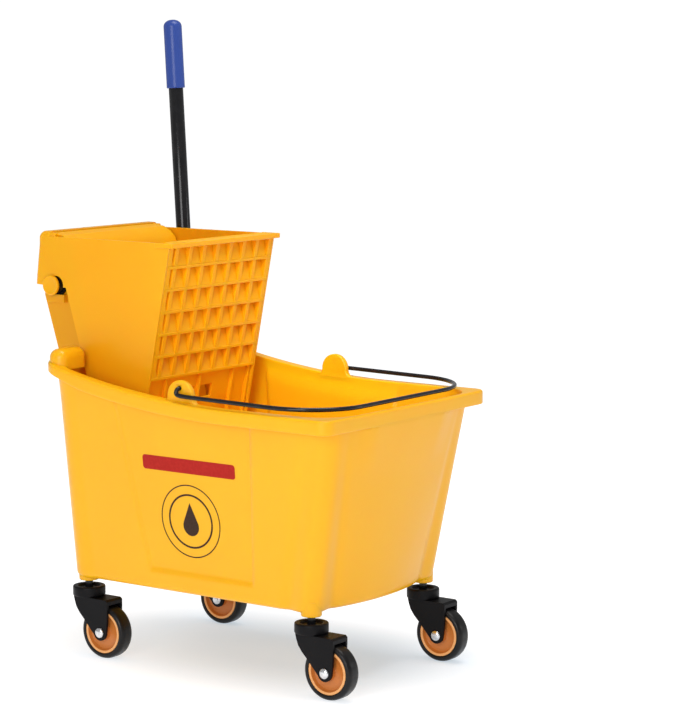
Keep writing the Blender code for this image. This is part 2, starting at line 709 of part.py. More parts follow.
def make_hanger():
    """Bracket that carries the wringer: two cheeks and a back skin hooked over the rear rim."""
    rest_z = rim_height(RIM_OUTLINE[0]) + 0.0015
    hook_x = RIM_OUTLINE[0] - 0.004
    wall_gap = 0.0004
    foot_x = line_x(REAR_LOWER, REAR_UPPER, rest_z) - wall_gap
    rear = [(-0.280, 0.545), (-0.280, 0.503), (-0.2560, 0.428), (-0.2470, HOOK_BOTTOM_Z)]
    hook = [(hook_x - 0.014, HOOK_BOTTOM_Z), (hook_x, 0.409), (hook_x, rest_z), (foot_x, rest_z)]
    top = [(line_x(REAR_LOWER, REAR_UPPER, 0.515) - wall_gap, 0.515), (-0.228, 0.545)]
    outline = rear + hook + top
    hanger = plate("hanger_bracket", outline, -CHEEK_OUTER_Y, -CHEEK_INNER_Y, YELLOW)
    join(hanger, plate("far_cheek", outline, CHEEK_INNER_Y, CHEEK_OUTER_Y))
    skin = [(-0.280, 0.516)] + rear[1:]
    reach = CHEEK_INNER_Y + 0.001
    join(hanger, plate("back_skin", thick_path(skin[::-1], WALL), -reach, reach))
    ledges = bmesh.new()
    for side in (1, -1):
        y_low, y_high = sorted((side * (CHEEK_OUTER_Y - 0.001), side * 0.112))
        add_box(ledges, (SHAFT[0] - 0.015, y_low, SHAFT[1] - 0.025),
                (SHAFT[0] + 0.015, y_high, SHAFT[1] - 0.014))
    join(hanger, from_bmesh("shaft_ledges", ledges))
    cut(hanger, rods("bush_bores", [across_y(SHAFT, -0.110, 0.110, BUSH_RADIUS + GAP)], segments=24))
    return hanger


# ---------------------------------------------------------------- squeezing gear
def roller_centre(angle):
    """Centre of the crank rollers in the world after the lever turns by an angle."""
    lean = ARM_REST_ANGLE + angle
    return SHAFT[0] + ARM_LENGTH * math.sin(lean), SHAFT[1] + ARM_LENGTH * math.cos(lean)


def cam_edge(count=9):
    """Rear edge of the press plate's ribs, along which the rollers run with a small gap."""
    centres = []
    for i in range(-1, count + 1):
        angle = LEVER_STROKE * i / (count - 1)
        centres.append(turn_about(roller_centre(angle), PLATE_PIN, -PLATE_RATIO * angle))
    reach = ROLLER_RADIUS + 0.0006
    edge = []
    for before, here, after in zip(centres, centres[1:], centres[2:]):
        run = Vector((after[0] - before[0], after[1] - before[1])).normalized()
        edge.append((here[0] - run.y * reach, here[1] + run.x * reach))
    return edge


def make_press_plate():
    """Plate hinged at the chute's foot, with a rounded head and two cam ribs behind it."""
    lean = math.atan2(PLATE_HEAD[0] - PLATE_PIN[0], PLATE_HEAD[1] - PLATE_PIN[1])
    foot = (PLATE_PIN[0] + 0.002 + 0.005 * math.sin(lean), PLATE_PIN[1] + 0.005)
    face = [foot, (PLATE_HEAD[0] + 0.0022, PLATE_HEAD[1]), (-0.2160, 0.5755), (-0.2245, 0.5835),
            (-0.2370, 0.5900), (-0.2540, 0.5930)]
    press = plate("press_plate", thick_path(face[::-1], BOX_WALL),
                  -PLATE_HALF_WIDTH, PLATE_HALF_WIDTH, ORANGE)
    knuckle = across_y(PLATE_PIN, -PLATE_HALF_WIDTH, PLATE_HALF_WIDTH, 0.0075)
    join(press, rods("plate_knuckle", [knuckle], segments=16))
    edge = cam_edge()
    web_top = [(-0.2540, 0.5910), (-0.2240, 0.5800), (-0.2125, 0.5600)]
    foot_z = 0.505
    web = edge + [(line_x(PLATE_PIN, PLATE_HEAD, foot_z), foot_z)] + web_top[::-1]
    for side in (1, -1):
        y_low, y_high = sorted((side * RIB_Y[0], side * RIB_Y[1]))
        join(press, plate(f"cam_rib_{side}", web, y_low, y_high))
    cut(press, rods("knuckle_bore", [across_y(PLATE_PIN, -THROUGH, THROUGH, PIN_RADIUS + GAP)],
                    segments=12))
    return press


def make_arm(name, side):
    """Crank arm fixed on the shaft; its free end carries a roller."""
    tip = roller_centre(0)
    toward = math.degrees(math.atan2(tip[1] - SHAFT[1], tip[0] - SHAFT[0]))
    outline = (arc(SHAFT, 0.018, toward + 75, toward + 285, 12)
               + arc(tip, 0.0060, toward - 75, toward + 75, 6))
    y_low, y_high = sorted((side * ARM_Y[0], side * ARM_Y[1]))
    arm = plate(name, outline, y_low, y_high, BLACK_STEEL)
    bores = [across_y(SHAFT, y_low - 0.01, y_high + 0.01, SHAFT_RADIUS + GAP),
             across_y(tip, y_low - 0.01, y_high + 0.01, ROLLER_PIN_RADIUS + GAP)]
    cut(arm, rods(f"{name}_bores", bores, segments=16))
    pin = rods(f"{name}_pin", [across_y(tip, side * 0.0530, side * 0.0730, ROLLER_PIN_RADIUS)],
               ZINC, segments=10)
    half, bore = 0.0053, ROLLER_PIN_RADIUS + GAP
    profile = [(bore, -half), (ROLLER_RADIUS, -half), (ROLLER_RADIUS, half), (bore, half)]
    middle = (RIB_Y[0] + RIB_Y[1]) / 2 + 0.0007
    roller = turned(f"{name}_roller", profile, BLACK_PLASTIC, (tip[0], side * middle, tip[1]), "Y", 16)
    return arm, pin, roller


def make_spring():
    """Torsion spring that lifts the lever, coiled round the shaft beside the far cheek."""
    turns, steps, radius = 3, 9, 0.0165
    start_y, pitch = 0.0780, 0.0045
    points = [(SHAFT[0] - 0.020, start_y, SHAFT[1] + 0.030)]
    for i in range(turns * steps + 1):
        angle = math.radians(150) - 2 * math.pi * i / steps
        points.append((SHAFT[0] + radius * math.cos(angle), start_y + pitch * i / steps,
                       SHAFT[1] + radius * math.sin(angle)))
    points.append((SHAFT[0] - 0.022, start_y + pitch * turns, SHAFT[1] + 0.032))
    return wire("return_spring", points, 0.0012, SPRING_STEEL)


def make_bush(name, side):
    """Flanged bush that carries the shaft in a hanger cheek."""
    profile = [(SHAFT_RADIUS + GAP, 0.0), (0.0180, 0.0), (0.0180, 0.0022), (BUSH_RADIUS, 0.0022),
               (BUSH_RADIUS, 0.0085), (SHAFT_RADIUS + GAP, 0.0085)]
    start = CHEEK_INNER_Y - 0.0025
    # Heights run along -Y once the profile is turned about the Y axis.
    outward = [(r, -side * h) for r, h in profile]
    return turned(name, outward, BLACK_PLASTIC, (SHAFT[0], side * start, SHAFT[1]), "Y", 20)


def lever_point(distance, offset_y=0.0):
    """Point on the lever's axis at a distance from its foot."""
    return (LEVER_FOOT[0] + distance * math.sin(LEVER_LEAN), LEVER_Y + offset_y,
            LEVER_FOOT[1] + distance * math.cos(LEVER_LEAN))


def make_socket(bolt_at):
    """Socket fixed on the shaft's far end, with a sleeve that holds the tube."""
    boss = across_y(SHAFT, 0.1225, LEVER_Y, 0.0175)
    socket = rods("lever_socket", [boss], BLACK_PLASTIC, segments=24)
    sleeve = (lever_point(-0.010), lever_point(SLEEVE_LENGTH), SLEEVE_RADIUS)
    join(socket, rods("socket_sleeve", [sleeve], segments=24))
    join(socket, box("socket_web", (SHAFT[0], SHAFT_END_Y + 0.001, SHAFT[1] - 0.012),
                     (SHAFT[0] + 0.022, LEVER_Y, SHAFT[1] + 0.012)))
    shaft_bore = across_y(SHAFT, 0.110, SHAFT_END_Y + GAP, SHAFT_RADIUS + GAP)
    cut(socket, rods("shaft_socket", [shaft_bore], segments=20))
    tube_bore = (lever_point(-2 * GAP), lever_point(0.090), TUBE_RADIUS + GAP)
    cut(socket, rods("tube_socket", [tube_bore], segments=20))
    cut(socket, rods("bolt_hole", [clamp_hole(bolt_at)], segments=12))
    return socket


def clamp_hole(bolt_at):
    """Hole for the clamp bolt, right through the sleeve and the tube."""
    return across_y(bolt_at[::2], LEVER_Y - 0.030, LEVER_Y + 0.030, CLAMP_RADIUS + GAP)


def make_clamp_bolt(bolt_at):
    """Bolt through the sleeve, with a round head on the far side."""
    head, end = LEVER_Y + 0.0160, LEVER_Y + 0.0225
    profile = [(0, LEVER_Y - 0.0215), (CLAMP_RADIUS, LEVER_Y - 0.0215), (CLAMP_RADIUS, head),
               (0.0056, head), (0.0056, end - 0.0030), (0.0040, end), (0, end)]
    return turned("lever_clamp_bolt", [(r, -h) for r, h in profile], ZINC,
                  (bolt_at[0], 0, bolt_at[2]), "Y", 14, closed=False)


def make_grip():
    """Vinyl sleeve with a domed end, pushed over the tube's top."""
    end = TUBE_LENGTH + GAP
    start = end - GRIP_LENGTH + GRIP_END
    top = start + GRIP_LENGTH
    bore = [(TUBE_RADIUS + GAP, start), (TUBE_RADIUS + GAP, end), (0, end)]
    shell = [(0, top)]
    for degrees in (30, 60, 90):
        angle = math.radians(degrees)
        drop = GRIP_RADIUS * 0.75 * (1 - math.cos(angle))
        shell.append((GRIP_RADIUS * math.sin(angle), top - drop))
    shell += [(GRIP_RADIUS, start + 0.0015), (GRIP_RADIUS - 0.001, start)]
    return turned("lever_grip", shell + bore, BLUE_GRIP, (LEVER_FOOT[0], LEVER_Y, LEVER_FOOT[1]),
                  "Z", 24, closed=False, lean=LEVER_LEAN)


def make_lever():
    """Socket on the shaft's far end, steel tube, clamp bolt and vinyl grip."""
    bolt_at = lever_point(0.046)
    tube = rods("lever_tube", [(lever_point(0), lever_point(TUBE_LENGTH), TUBE_RADIUS)], BLACK_STEEL,
                segments=20)
    cut(tube, rods("tube_hole", [clamp_hole(bolt_at)], segments=12))
    return make_socket(bolt_at), tube, make_clamp_bolt(bolt_at), make_grip()


def make_gear():
    """Everything that turns with the shaft, the press plate, and what carries them."""
    shaft = rods("cross_shaft", [across_y(SHAFT, -0.1182, SHAFT_END_Y, SHAFT_RADIUS)], BLACK_STEEL,
                 segments=24)
    cap_profile = [(0, -0.0045), (0.0120, -0.0045), (0.0143, -0.0030), (0.0143, 0.0), (0, 0.0)]
    cap = turned("shaft_end_cap", [(r, -h) for r, h in cap_profile], YELLOW,
                 (SHAFT[0], -0.1185, SHAFT[1]), "Y", 24, closed=False)
    turning = [shaft, cap, *make_lever()]
    for side, name in ((-1, "near_crank_arm"), (1, "far_crank_arm")):
        turning += make_arm(name, side)
    attach(pivot("lever_pivot", (SHAFT[0], 0, SHAFT[1])), *turning)
    attach(pivot("plate_pivot", (PLATE_PIN[0], 0, PLATE_PIN[1])), make_press_plate())
    rods("plate_hinge_pin", [across_y(PLATE_PIN, -0.1178, 0.1178, PIN_RADIUS)], ZINC, segments=14)
    make_bush("near_shaft_bush", -1)
    make_bush("far_shaft_bush", 1)
    make_spring()


def main():
    """Build the whole object."""
    make_bucket()
    make_bail()
    for end, x in zip(("front", "rear"), STEM_X):
        for side, y in (("near", -STEM_Y), ("far", STEM_Y)):
            make_caster(f"{end}_{side}", x, y)
    make_housing()
    make_grid()
    make_lower_panel()
    make_collar()
    make_drain_grate()
    make_hanger()
    make_gear()


main()
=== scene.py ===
import json
import math

import bmesh
import bpy
from mathutils import Matrix, Vector

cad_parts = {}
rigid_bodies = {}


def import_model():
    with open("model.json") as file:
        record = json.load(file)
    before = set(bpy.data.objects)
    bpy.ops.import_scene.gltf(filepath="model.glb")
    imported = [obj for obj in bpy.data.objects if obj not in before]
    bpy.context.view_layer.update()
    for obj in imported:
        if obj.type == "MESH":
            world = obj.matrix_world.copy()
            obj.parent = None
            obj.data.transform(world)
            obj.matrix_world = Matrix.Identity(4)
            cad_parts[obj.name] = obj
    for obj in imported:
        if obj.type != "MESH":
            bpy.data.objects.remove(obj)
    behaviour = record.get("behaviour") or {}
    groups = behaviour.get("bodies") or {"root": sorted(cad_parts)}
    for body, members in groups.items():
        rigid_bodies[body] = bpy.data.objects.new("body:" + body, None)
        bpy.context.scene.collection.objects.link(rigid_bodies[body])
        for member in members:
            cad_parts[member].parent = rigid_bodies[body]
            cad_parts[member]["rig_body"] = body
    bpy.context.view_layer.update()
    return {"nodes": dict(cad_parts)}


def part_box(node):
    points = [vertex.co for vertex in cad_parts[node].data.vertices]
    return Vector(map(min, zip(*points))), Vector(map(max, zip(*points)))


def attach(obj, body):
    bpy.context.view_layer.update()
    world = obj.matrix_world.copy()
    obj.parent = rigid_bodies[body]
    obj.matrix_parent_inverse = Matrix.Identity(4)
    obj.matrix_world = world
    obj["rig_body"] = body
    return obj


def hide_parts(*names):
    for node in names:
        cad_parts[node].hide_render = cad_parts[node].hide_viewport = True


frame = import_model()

# ---- sizes, as in the CAD part
BUCKET_BOTTOM_Z = 0.1125
BUCKET_FLOOR_Z = 0.1165
RIM_Z = 0.380
WALL = 0.0035
# Outlines are rear x, front x, half width, rear radius, front radius, front bow.
BOTTOM_OUTLINE = (-0.198, 0.242, 0.145, 0.036, 0.060, 0.030)
TOP_OUTLINE = (-0.2085, 0.2815, 0.1740, 0.040, 0.055, 0.004)
RIM_OUTLINE = (-0.213, 0.284, 0.1895, 0.030, 0.016, 0.003)
LIP_THICKNESS = 0.0032
EAR_X, EAR_Z, EAR_RADIUS = 0.030, 0.391, 0.0215
EAR_INNER_Y, EAR_OUTER_Y = 0.1706, 0.1790
BAIL_Z = 0.402
STEM_X = {"front": 0.214, "rear": -0.177}
SIDES = {"near": -1, "far": 1}
STEM_Y = 0.1315
TRAIL, WHEEL_RADIUS, HUB_RIM_RADIUS = 0.033, 0.038, 0.0262
BOX_HALF_WIDTH = 0.118
FRONT_TOP, FRONT_FOOT = (-0.036, 0.588), (-0.074, 0.395)
BOX_BOTTOM_Z = 0.320
REAR_UPPER, REAR_LOWER = (-0.226, 0.517), (-0.166, 0.320)
SHAFT = (-0.252, 0.5195)
PLATE_PIN = (-0.158, 0.334)
LEVER_Y, LEVER_FOOT, LEVER_LEAN = 0.150, (-0.2275, 0.506), math.radians(-3.38)
TUBE_RADIUS, TUBE_LENGTH = 0.01075, 0.378
GRIP_RADIUS, GRIP_LENGTH = 0.0135, 0.101


# ---- small geometry helpers
def smooth(value, low, high):
    """0 below low, 1 above high, and a soft step between them."""
    t = min(max((value - low) / (high - low), 0.0), 1.0)
    return t * t * (3 - 2 * t)


def mix(a, b, share):
    """The value a share of the way from a to b, for numbers or tuples."""
    if isinstance(a, tuple):
        return tuple(mix(p, q, share) for p, q in zip(a, b))
    return a + (b - a) * share


def arc(centre, radius, start, end, count):
    """Points on an arc in a plane, angles in degrees."""
    angles = [math.radians(mix(start, end, i / count)) for i in range(count + 1)]
    return [(centre[0] + radius * math.cos(a), centre[1] + radius * math.sin(a)) for a in angles]


def line_x(lower, upper, z):
    """x at a height on the line between two (x, z) points."""
    return mix(lower[0], upper[0], (z - lower[1]) / (upper[1] - lower[1]))


def rounded(points, radius, steps):
    """A closed outline with its corners rounded."""
    result = []
    for i, corner in enumerate(points):
        here = Vector(corner)
        before = (Vector(points[i - 1]) - here).normalized()
        after = (Vector(points[(i + 1) % len(points)]) - here).normalized()
        half = before.angle(after) / 2
        reach = radius / math.tan(half)
        start, end = here + before * reach, here + after * reach
        middle = here + (before + after).normalized() * (radius / math.sin(half))
        first, last = start - middle, end - middle
        turn = first.angle_signed(last)
        for k in range(steps + 1):
            result.append(tuple(middle + Matrix.Rotation(-turn * k / steps, 2) @ first))
    return result


def catmull(points, count):
    """A smooth open path through points, with a number of steps between each two."""
    padded = [Vector(point) for point in (points[0], *points, points[-1])]
    path = []
    for a, b, c, d in zip(padded, padded[1:], padded[2:], padded[3:]):
        for k in range(count):
            t = k / count
            path.append(0.5 * (2 * b + (c - a) * t + (2 * a - 5 * b + 4 * c - d) * t * t
                               + (3 * b - a - 3 * c + d) * t ** 3))
    return path + padded[-1:]


# ---- pieces
def add_object(name, data):
    """Object in the scene's collection."""
    obj = bpy.data.objects.new(name, data)
    bpy.context.scene.collection.objects.link(obj)
    return obj


def place(name, data, finish, body, replaces):
    """Object of one piece in the material of a (material, slot) finish, riding on its CAD body."""
    material, slot = finish
    obj = add_object(name, data)
    data.materials.append(material)
    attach(obj, body)
    if replaces:
        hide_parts(*replaces)
    return obj


def shade(mesh, angle=35):
    """Smooth shading, with edges sharper than an angle kept sharp."""
    mesh.shade_smooth()
    mesh.set_sharp_from_angle(angle=math.radians(angle))


def as_mesh(name, shape, angle=35, outward=True):
    """Mesh from a bmesh."""
    if outward:
        bmesh.ops.recalc_face_normals(shape, faces=shape.faces)
    mesh = bpy.data.meshes.new(name)
    shape.to_mesh(mesh)
    shape.free()
    shade(mesh, angle)
    return mesh


def make_piece(name, shape, finish, body, replaces=(), angle=35, outward=True):
    """One piece from a bmesh."""
    return place(name, as_mesh(name, shape, angle, outward), finish, body, replaces)


def bevel(obj, width, segments, angle=35):
    """Rounded edges on a piece."""
    modifier = obj.modifiers.new("rounded_edges", "BEVEL")
    modifier.width = width
    modifier.segments = segments
    modifier.limit_method = "ANGLE"
    modifier.angle_limit = math.radians(angle)
    modifier.harden_normals = True
    return obj


def add_band(shape, first, second):
    """Quads between two closed loops of equal length."""
    for i in range(len(first)):
        j = (i + 1) % len(first)
        shape.faces.new((first[i], first[j], second[j], second[i]))


def skin(shape, rings):
    """Closed skin over rings of equal length, with the first and last filled."""
    loops = [[shape.verts.new(point) for point in ring] for ring in rings]
    for low, high in zip(loops, loops[1:]):
        add_band(shape, low, high)
    shape.faces.new(list(reversed(loops[0])))
    shape.faces.new(loops[-1])


def add_turned(shape, profile, steps, matrix, closed=False):
    """Skin turned about Z from (radius, height) points, moved by a matrix."""
    angles = [2 * math.pi * k / steps for k in range(steps)]
    rings = []
    for radius, height in profile:
        ring = [(0, 0, height)]
        if radius > 0:
            ring = [(radius * math.cos(a), radius * math.sin(a), height) for a in angles]
        rings.append([shape.verts.new(matrix @ Vector(point)) for point in ring])
    pairs = list(zip(rings, rings[1:])) + ([(rings[-1], rings[0])] if closed else [])
    for low, high in pairs:
        for i in range(steps):
            j = (i + 1) % steps
            corners = [low[i % len(low)], low[j % len(low)], high[j % len(high)], high[i % len(high)]]
            corners = list(dict.fromkeys(corners))
            if len(corners) > 2:
                shape.faces.new(corners)


def turned(name, profile, finish, body, matrix, replaces, steps, closed=False):
    """One turned piece."""
    shape = bmesh.new()
    add_turned(shape, profile, steps, matrix, closed)
    return make_piece(name, shape, finish, body, replaces, 40)


def both_faces(profile):
    """A profile followed by its mirror image below."""
    return profile + [(radius, -height) for radius, height in reversed(profile)]


def along_y(x, y, z):
    """Matrix that turns a profile's height to run along +Y from a point."""
    return Matrix.Translation((x, y, z)) @ Matrix.Rotation(math.radians(-90), 4, "X")


def add_plate(shape, outline, *edges):
    """Prism from an (x, z) outline between two y values."""
    near, far = [[shape.verts.new((x, y, z)) for x, z in outline] for y in sorted(edges)]
    shape.faces.new(near)
    shape.faces.new(list(reversed(far)))
    for i in range(len(outline)):
        j = (i + 1) % len(outline)
        shape.faces.new((near[j], near[i], far[i], far[j]))


def add_box(shape, low, high):
    """Box between two corners."""
    size = [abs(h - l) for l, h in zip(low, high)]
    centre = [(h + l) / 2 for l, h in zip(low, high)]
    bmesh.ops.create_cube(shape, size=1.0, matrix=Matrix.Translation(centre) @ Matrix.Diagonal((*size, 1)))


def refined(node, finish, width, segments, angle=35):
    """The CAD node's own shape with its facets merged and its edges rounded."""
    source = frame["nodes"][node]
    shape = bmesh.new()
    shape.from_mesh(source.data)
    bmesh.ops.remove_doubles(shape, verts=shape.verts, dist=1e-6)
    bmesh.ops.dissolve_limit(shape, angle_limit=math.radians(1), verts=shape.verts, edges=shape.edges)
    piece = make_piece(f"{node}_piece", shape, finish, source["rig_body"], [node], angle)
    return bevel(piece, width, segments, angle)


def tube_along(name, points, radius, finish, body, replaces, resolution=8):
    """Round rod along a dense path, with rounded ends."""
    data = bpy.data.curves.new(name, "CURVE")
    data.dimensions = "3D"
    data.bevel_depth = radius
    data.bevel_resolution = resolution
    data.use_fill_caps = True
    spline = data.splines.new("POLY")
    spline.points.add(len(points) - 1)
    for point, at in zip(spline.points, points):
        point.co = (*at, 1)
    for end in (spline.points[0], spline.points[-1]):
        end.radius = 0.75
    return place(name, data, finish, body, replaces)


# ---- materials
def new_material(name):
    """Material with its node tree, shader and an object-space coordinate."""
    material = bpy.data.materials.new(name)
    material.use_nodes = True
    tree = material.node_tree
    shader = tree.nodes["Principled BSDF"]
    coordinate = tree.nodes.new("ShaderNodeTexCoord").outputs["Object"]
    return material, tree, shader, coordinate


def feed(tree, node, inputs):
    """Set a node's inputs, or link them where a value is another node's socket."""
    for name, value in inputs.items():
        if isinstance(value, bpy.types.NodeSocket):
            tree.links.new(value, node.inputs[name])
        else:
            node.inputs[name].default_value = value


def add_node(tree, kind, inputs, result):
    """Output socket of a new node."""
    node = tree.nodes.new(kind)
    feed(tree, node, inputs)
    return node.outputs[result]


def noise(tree, vector, scale, detail, roughness=0.5, distortion=0.0):
    """Noise value at a scale per metre."""
    inputs = {"Vector": vector, "Scale": scale, "Detail": detail, "Roughness": roughness,
              "Distortion": distortion}
    return add_node(tree, "ShaderNodeTexNoise", inputs, "Fac")


def remap(tree, value, low, high, to_low, to_high):
    """Value clamped from one range to another."""
    inputs = {"Value": value, "From Min": low, "From Max": high, "To Min": to_low, "To Max": to_high}
    return add_node(tree, "ShaderNodeMapRange", inputs, "Result")


def blend_colour(tree, share, first, second):
    """Colour between two, by a share from 0 to 1."""
    node = tree.nodes.new("ShaderNodeMix")
    node.data_type = "RGBA"
    ends = [(*colour, 1) if isinstance(colour, tuple) else colour for colour in (first, second)]
    feed(tree, node, {"Factor": share, "A": ends[0], "B": ends[1]})
    return node.outputs["Result"]


def bump(tree, shader, height, distance, normal=None):
    """Bump on the shader's normal, in metres at full height."""
    inputs = {"Strength": 1.0, "Distance": distance, "Height": height}
    if normal is not None:
        inputs["Normal"] = normal
    result = add_node(tree, "ShaderNodeBump", inputs, "Normal")
    feed(tree, shader, {"Normal": result})
    return result


def moulded_plastic(name, colour, deep, roughness, grain=0.00004, wave=0.00012, gloss=0.32):
    """Injection-moulded plastic: faint flow in the colour, fine grain, a little waviness."""
    material, tree, shader, at = new_material(name)
    flow = remap(tree, noise(tree, at, 7.0, 2.0, 0.5, 0.6), 0.3, 0.7, 0.0, 0.55)
    speck = remap(tree, noise(tree, at, 420.0, 2.0), 0.35, 0.75, 0.0, 0.10)
    tone = blend_colour(tree, speck, blend_colour(tree, flow, colour, deep), deep)
    rubbed = remap(tree, noise(tree, at, 24.0, 4.0, 0.6), 0.3, 0.7, roughness - 0.02, roughness + 0.05)
    feed(tree, shader, {"Base Color": tone, "Roughness": rubbed, "IOR": 1.49, "Specular IOR Level": gloss})
    waviness = bump(tree, shader, noise(tree, at, 55.0, 2.0), wave)
    bump(tree, shader, noise(tree, at, 1500.0, 2.0), grain, waviness)
    return material


def waxy_plastic(name, colour, deep, roughness, gloss=0.32):
    """Moulded plastic that light enters a few millimetres deep."""
    material = moulded_plastic(name, colour, deep, roughness, gloss=gloss)
    feed(material.node_tree, material.node_tree.nodes["Principled BSDF"],
         {"Subsurface Weight": 0.30, "Subsurface Radius": (1.0, 0.45, 0.08), "Subsurface Scale": 0.010})
    return material


def coated_steel(name, colour, roughness):
    """Black coated steel: glossy, with fine orange peel and a few dull rubs."""
    material, tree, shader, at = new_material(name)
    pale = tuple(c * 2.2 + 0.004 for c in colour)
    tone = blend_colour(tree, remap(tree, noise(tree, at, 60.0, 4.0), 0.4, 0.7, 0.0, 0.5), colour, pale)
    rub = remap(tree, noise(tree, at, 90.0, 5.0, 0.7, 1.0), 0.55, 0.75, roughness, roughness + 0.10)
    feed(tree, shader, {"Base Color": tone, "Roughness": rub, "Specular IOR Level": 0.34})
    bump(tree, shader, noise(tree, at, 700.0, 2.0), 0.00003)
    return material


def bright_metal(name, colour, roughness):
    """Plated or bare steel with fine turning marks."""
    material, tree, shader, at = new_material(name)
    dull = tuple(c * 0.72 for c in colour)
    tone = blend_colour(tree, remap(tree, noise(tree, at, 220.0, 4.0), 0.35, 0.7, 0.0, 1.0), colour, dull)
    streak = noise(tree, at, 900.0, 2.0)
    rough = remap(tree, streak, 0.3, 0.7, roughness - 0.05, roughness + 0.10)
    feed(tree, shader, {"Base Color": tone, "Roughness": rough, "Metallic": 1.0})
    bump(tree, shader, streak, 0.00002)
    return material


def rubber(name):
    """Tyre rubber: dark grey, slightly dusty, with a fine tooth."""
    material, tree, shader, at = new_material(name)
    dust = remap(tree, noise(tree, at, 130.0, 5.0, 0.65), 0.45, 0.75, 0.0, 0.45)
    tone = blend_colour(tree, dust, (0.0034, 0.0029, 0.0031), (0.0100, 0.0080, 0.0072))
    feed(tree, shader, {"Base Color": tone, "Roughness": remap(tree, dust, 0.0, 0.45, 0.30, 0.55),
                        "Specular IOR Level": 0.28})
    bump(tree, shader, noise(tree, at, 1100.0, 3.0), 0.00005)
    return material


def ink(name, colour):
    """Printed ink, a little paler in places."""
    material, tree, shader, at = new_material(name)
    pale = tuple(c * 1.5 + 0.01 for c in colour)
    tone = blend_colour(tree, remap(tree, noise(tree, at, 300.0, 3.0), 0.4, 0.8, 0.0, 0.35), colour, pale)
    feed(tree, shader, {"Base Color": tone, "Roughness": 0.45, "Specular IOR Level": 0.18})
    return material


# Each finish is a material and its slot. The plastics' roughness stays on one side of 0.274, where
# a denoiser starts to take a surface for a mirror.
YELLOW = (waxy_plastic("yellow_plastic_moulded", (0.87, 0.435, 0.004), (0.85, 0.405, 0.003), 0.30),
          "yellow_plastic")
WRINGER_YELLOW = (waxy_plastic("wringer_yellow_moulded", (0.86, 0.395, 0.004), (0.84, 0.365, 0.003),
                               0.32, 0.22), "yellow_plastic")
# A darker copy of the yellow plastic for the hanger: painted shade from the hood above it.
HANGER_SHADED_YELLOW = (waxy_plastic("hanger_yellow_painted_shade", (0.73, 0.325, 0.004), (0.71, 0.300, 0.003),
                              0.34, 0.20), "yellow_plastic")
# A more orange, saturated copy of the yellow plastic: painted bounce light and shade of the wringer's
# recesses, not a plastic of its own colour.
INTERREFLECTED_ORANGE = (waxy_plastic("wringer_plastic_painted_bounce", (0.98, 0.43, 0.003), (0.97, 0.40, 0.002), 0.45, 0.15),
          "orange_plastic")
BLACK_PLASTIC = (moulded_plastic("black_plastic_moulded", (0.0030, 0.0028, 0.0034), (0.0060, 0.0056, 0.0066),
                                 0.40, 0.00006, 0.00006, 0.13), "black_plastic")
BLUE = (moulded_plastic("blue_vinyl_dipped", (0.034, 0.073, 0.31), (0.025, 0.056, 0.26),
                        0.22, 0.00002, 0.0001), "blue_vinyl")
COPPER = (moulded_plastic("copper_nylon_moulded", (0.60, 0.195, 0.036), (0.52, 0.150, 0.026),
                          0.30, 0.00005, 0.00008, 0.40), "copper_nylon")
# A paler copy of the copper nylon for the hub's outer ring: a painted highlight on its bead.
COPPER_HIGHLIGHT_RIM = moulded_plastic("copper_nylon_painted_highlight_rim", (0.84, 0.40, 0.14), (0.76, 0.33, 0.10),
                             0.30, 0.00003, 0.00006, 0.45)
BLACK_STEEL = (coated_steel("black_coated_steel_gloss", (0.006, 0.006, 0.007), 0.16), "black_coated_steel")
RUBBER = (rubber("tyre_rubber_moulded"), "tyre_rubber")
ZINC = (bright_metal("zinc_plated", (0.78, 0.79, 0.81), 0.22), "zinc_steel")
SPRING = (bright_metal("spring_wire", (0.32, 0.32, 0.34), 0.30), "spring_steel")
RED_INK = (ink("red_ink", (0.38, 0.008, 0.003)), "yellow_plastic")
DARK_INK = (ink("dark_ink", (0.035, 0.014, 0.006)), "yellow_plastic")


# ---- bucket tub
RIM_RISE, RIM_RISE_START_X, RIM_RISE_RUN = 0.042, 0.120, 0.330
LIP_DEPTH, LIP_REAR_DEPTH, LIP_TAPER_X = 0.0195, 0.0130, (-0.205, -0.130)
LIP_MERGE_Y, LIP_MERGE_HEIGHT = (0.072, 0.125), 0.085     # where the front's lip runs into the wall
LIP_CROWN, LIP_INNER = 0.0034, 0.0016     # roundings of the lip's outer and inner top edges
BOTTOM_EDGE = 0.008

# The shallow panel on each side, as (x, z) foot and top of its two slanted edges.
PANEL_FRONT = ((0.129, 0.139), (0.142, 0.355))
PANEL_REAR = ((-0.050, 0.143), (-0.095, 0.395))
PANEL_FOOT_Z, PANEL_EDGE, PANEL_DEPTH = 0.141, 0.0036, 0.0032

# Pilasters over the legs: column, height at the foot, and how their section falls away.
PILASTERS = (("front_corner", 0.467, 0.0205), ("rear_corner", 0.374, 0.0065))
PILASTER_FLAT, PILASTER_REACH, PILASTER_TOP_Z, PILASTER_TOP_SHARE = 0.004, 0.031, 0.365, 0.30
PILASTER_NEAR = 0.05                      # points farther off than this are past a pilaster

# Columns round half the tub; the side's are counted between its stops.
COLUMN_COUNTS = {"front": (34,), "front_corner": (24,), "side": (18, 6, 22, 14, 24, 6, 26),
                 "rear_corner": (20,), "rear": (34,)}
OUTER_STEPS, SWOLLEN_RINGS, INNER_STEPS = 66, 26, 44
LEAST_GAP, NECK_GAP = 0.0004, 0.0010      # between the wall and the lip
WALL_LEAN = 0.148                         # run of the front wall for each unit of height


def plan_columns():
    """Columns of the tub from the front's middle round the far side to the rear's middle, and back."""
    half = [(kind, 1, segment + k / count) for kind, counts in COLUMN_COUNTS.items()
            for segment, count in enumerate(counts) for k in range(count)]
    half.append(("rear", 1, 1.0))
    return half + [(kind, -1, share) for kind, _, share in reversed(half[1:-1])]


COLUMNS = plan_columns()


